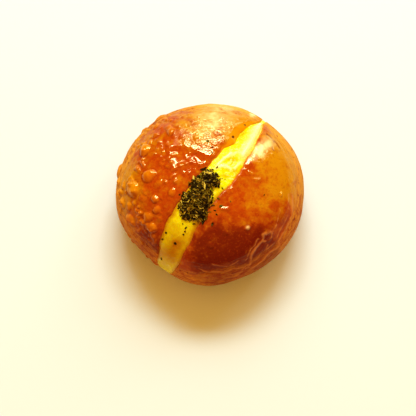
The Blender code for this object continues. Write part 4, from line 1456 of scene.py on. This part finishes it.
def make_heap(settings, things):
    """Make the heap of dried parsley flakes."""
    draw = random.Random(11)
    ground = ground_finder(things)
    pile = FlakePile()
    for lobe in HEAP_LOBES:
        add_heap_lobe(pile, ground, lobe)
    areas = [lobe[2] ** 2 for lobe in HEAP_LOBES]
    for _ in range(settings.count):
        lobe = draw.choices(HEAP_LOBES, areas)[0]
        reach = HEAP_FLAKE_REACH * lobe[2] * math.sqrt(draw.random())
        if draw.random() < HEAP_STRAY_SHARE:
            reach = lobe[2] + draw.uniform(0.0, HEAP_STRAY_REACH)
        angle = draw.uniform(0.0, 2.0 * math.pi)
        x, y = lobe[0] + reach * math.cos(angle), lobe[1] + reach * math.sin(angle)
        height, normal = ground(x, y)
        height += heap_rise(x, y) * draw.uniform(0.6, 1.0) + draw.uniform(0.1, 0.4) * MM
        size = settings.smallest + (settings.largest - settings.smallest) * draw.random() ** 1.8
        upward = Vector((0.0, 0.0, 1.0)).lerp(normal, 0.5).normalized()
        turn = flake_turn(upward, HEAP_FLAKE_LEAN, draw)
        is_stalk = draw.random() < HEAP_STALK_SHARE
        longer = STALK_STRETCH if is_stalk else None
        place = Vector((x, y, height))
        points, faces = flake_mesh_data(place, size, settings.thickness, turn, draw, longer)
        pile.add(points, faces, STALK_TONE if is_stalk else draw.random())
    return pile.to_object("parsley", parsley_material(settings))


def make_loose_flakes(settings, things):
    """Make the single flakes that lie on the crust and the filling."""
    draw = random.Random(23)
    ground = ground_finder(things)
    pile = FlakePile()
    for x, y, radius in LOOSE_FLAKES:
        height, normal = ground(x, y)
        centre = Vector((x, y, height)) + LOOSE_FLAKE_LIFT * normal
        turn = flake_turn(normal, LOOSE_FLAKE_LEAN, draw)
        points, faces = flake_mesh_data(centre, radius, settings.thickness, turn, draw)
        pile.add(points, faces, draw.uniform(0.0, 0.6))
    return pile.to_object("loose_parsley", bpy.data.materials["egg_bun_parsley"])


# ---------------------------------------------------------------- stage


def aim(thing, target):
    """Turn a camera or light to look at a point."""
    toward = Vector(target) - thing.location
    thing.rotation_euler = toward.to_track_quat("-Z", "Y").to_euler()


def add_camera():
    """Add the camera that stands in front of the bun and looks down on it."""
    camera = bpy.data.cameras.new("photo_camera")
    camera.sensor_width = SENSOR_WIDTH
    camera.lens = SENSOR_WIDTH * CAMERA_DISTANCE / VIEW_WIDTH_AT_BUN
    camera.clip_start = 0.01
    view = bpy.data.objects.new("photo_camera", camera)
    bpy.context.scene.collection.objects.link(view)
    up = Vector((0.0, math.sin(CAMERA_ELEVATION), math.cos(CAMERA_ELEVATION)))
    back = Vector((0.0, -math.cos(CAMERA_ELEVATION), math.sin(CAMERA_ELEVATION)))
    target = Vector((-CAMERA_AIM_LEFT, 0.0, EQUATOR_HEIGHT)) - CAMERA_AIM_BELOW * up
    view.location = target + CAMERA_DISTANCE * back
    aim(view, target)
    bpy.context.scene.camera = view


def add_panels(settings):
    """Add the four soft light panels."""
    for name, power, bearing, elevation, width, height in PANELS:
        bearing, elevation = math.radians(bearing), math.radians(elevation)
        light = bpy.data.lights.new(name, "AREA")
        light.shape = "RECTANGLE"
        light.size = width
        light.size_y = height
        light.energy = power * settings.panel_share
        light.color = settings.daylight
        thing = bpy.data.objects.new(name, light)
        bpy.context.scene.collection.objects.link(thing)
        flat = PANEL_DISTANCE * math.cos(elevation)
        thing.location = (
            flat * math.cos(bearing), flat * math.sin(bearing),
            PANEL_DISTANCE * math.sin(elevation),
        )
        aim(thing, (0.0, 0.0, EQUATOR_HEIGHT))


def add_room(settings):
    """Light the scene softly from all round, and most from above."""
    world = bpy.data.worlds.new("room")
    world.use_nodes = True
    tree = world.node_tree
    background = tree.nodes["Background"]
    background.inputs["Color"].default_value = (*settings.room, 1.0)
    direction = tree.nodes.new("ShaderNodeTexCoord").outputs["Generated"]
    split = tree.nodes.new("ShaderNodeSeparateXYZ")
    strength = tree.nodes.new("ShaderNodeMapRange")
    strength.inputs["From Max"].default_value = ROOM_FULL_LIGHT
    strength.inputs["To Min"].default_value = settings.horizon_strength
    strength.inputs["To Max"].default_value = settings.room_strength
    tree.links.new(direction, split.inputs["Vector"])
    tree.links.new(split.outputs["Z"], strength.inputs["Value"])
    tree.links.new(strength.outputs["Result"], background.inputs["Strength"])
    bpy.context.scene.world = world


def add_floor(settings):
    """Add the plain pale floor, a hair below the bun's base."""
    size = FLOOR_HALF_SIZE
    corners = [(-size, -size, 0.0), (size, -size, 0.0), (size, size, 0.0), (-size, size, 0.0)]
    floor = plain_object("floor", corners, [(0, 1, 2, 3)])
    floor.data.materials.append(floor_material(settings))
    floor.location.z = -FLOOR_DROP


# ---------------------------------------------------------------- operators


class EGGBUN_OT_crust(bpy.types.Operator):
    """Make the glazed bread with its cut."""

    bl_idname = "egg_bun.crust"
    bl_label = "Make Crust"

    def execute(self, context):
        crust = make_crust(context.scene.egg_bun_crust)
        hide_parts("bun")
        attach(crust, "root")
        return {"FINISHED"}


class EGGBUN_OT_filling(bpy.types.Operator):
    """Make the egg salad in the cut."""

    bl_idname = "egg_bun.filling"
    bl_label = "Make Filling"

    def execute(self, context):
        filling = make_filling(context.scene.egg_bun_filling)
        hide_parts("egg_filling")
        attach(filling, "root")
        return {"FINISHED"}


class EGGBUN_OT_parsley(bpy.types.Operator):
    """Make the heap of dried parsley and the single flakes round it."""

    bl_idname = "egg_bun.parsley"
    bl_label = "Make Parsley"

    def execute(self, context):
        settings = context.scene.egg_bun_parsley
        things = [bpy.data.objects["crust"], bpy.data.objects["egg_salad"]]
        heap = make_heap(settings, things)
        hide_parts("parsley_heap")
        loose = make_loose_flakes(settings, things)
        for piece in (heap, loose):
            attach(piece, "root")
        return {"FINISHED"}


class EGGBUN_OT_stage(bpy.types.Operator):
    """Add the camera, the floor and the light."""

    bl_idname = "egg_bun.stage"
    bl_label = "Make Stage"

    def execute(self, context):
        settings = context.scene.egg_bun_stage
        add_camera()
        add_floor(settings)
        add_panels(settings)
        add_room(settings)
        context.scene.view_settings.view_transform = "Standard"
        context.scene.view_settings.look = "High Contrast"
        return {"FINISHED"}


OPERATORS = (EGGBUN_OT_crust, EGGBUN_OT_filling, EGGBUN_OT_parsley, EGGBUN_OT_stage)
SETTINGS = {
    "egg_bun_crust": EggBunCrustSettings,
    "egg_bun_filling": EggBunFillingSettings,
    "egg_bun_parsley": EggBunParsleySettings,
    "egg_bun_stage": EggBunStageSettings,
}


class EGGBUN_PT_panel(bpy.types.Panel):
    """Lists the settings and the steps."""

    bl_idname = "EGGBUN_PT_panel"
    bl_label = "Egg Salad Bun"
    bl_space_type = "VIEW_3D"
    bl_region_type = "UI"
    bl_category = "Egg Bun"

    def draw(self, context):
        for (name, group), operator in zip(SETTINGS.items(), OPERATORS):
            box = self.layout.box()
            for field in group.__annotations__:
                box.prop(getattr(context.scene, name), field)
            box.operator(operator.bl_idname)


def register():
    """Register the settings, operators and panel."""
    for name, group in SETTINGS.items():
        bpy.utils.register_class(group)
        setattr(bpy.types.Scene, name, PointerProperty(type=group))
    for kind in (*OPERATORS, EGGBUN_PT_panel):
        bpy.utils.register_class(kind)


def unregister():
    """Remove what register added."""
    for kind in (EGGBUN_PT_panel, *reversed(OPERATORS)):
        bpy.utils.unregister_class(kind)
    for name, group in SETTINGS.items():
        delattr(bpy.types.Scene, name)
        bpy.utils.unregister_class(group)


def main():
    """Register the settings and steps, then make every piece and the stage."""
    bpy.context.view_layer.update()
    register()
    bpy.ops.egg_bun.crust()
    bpy.ops.egg_bun.filling()
    bpy.ops.egg_bun.parsley()
    bpy.ops.egg_bun.stage()


if __name__ == "__main__":
    main()
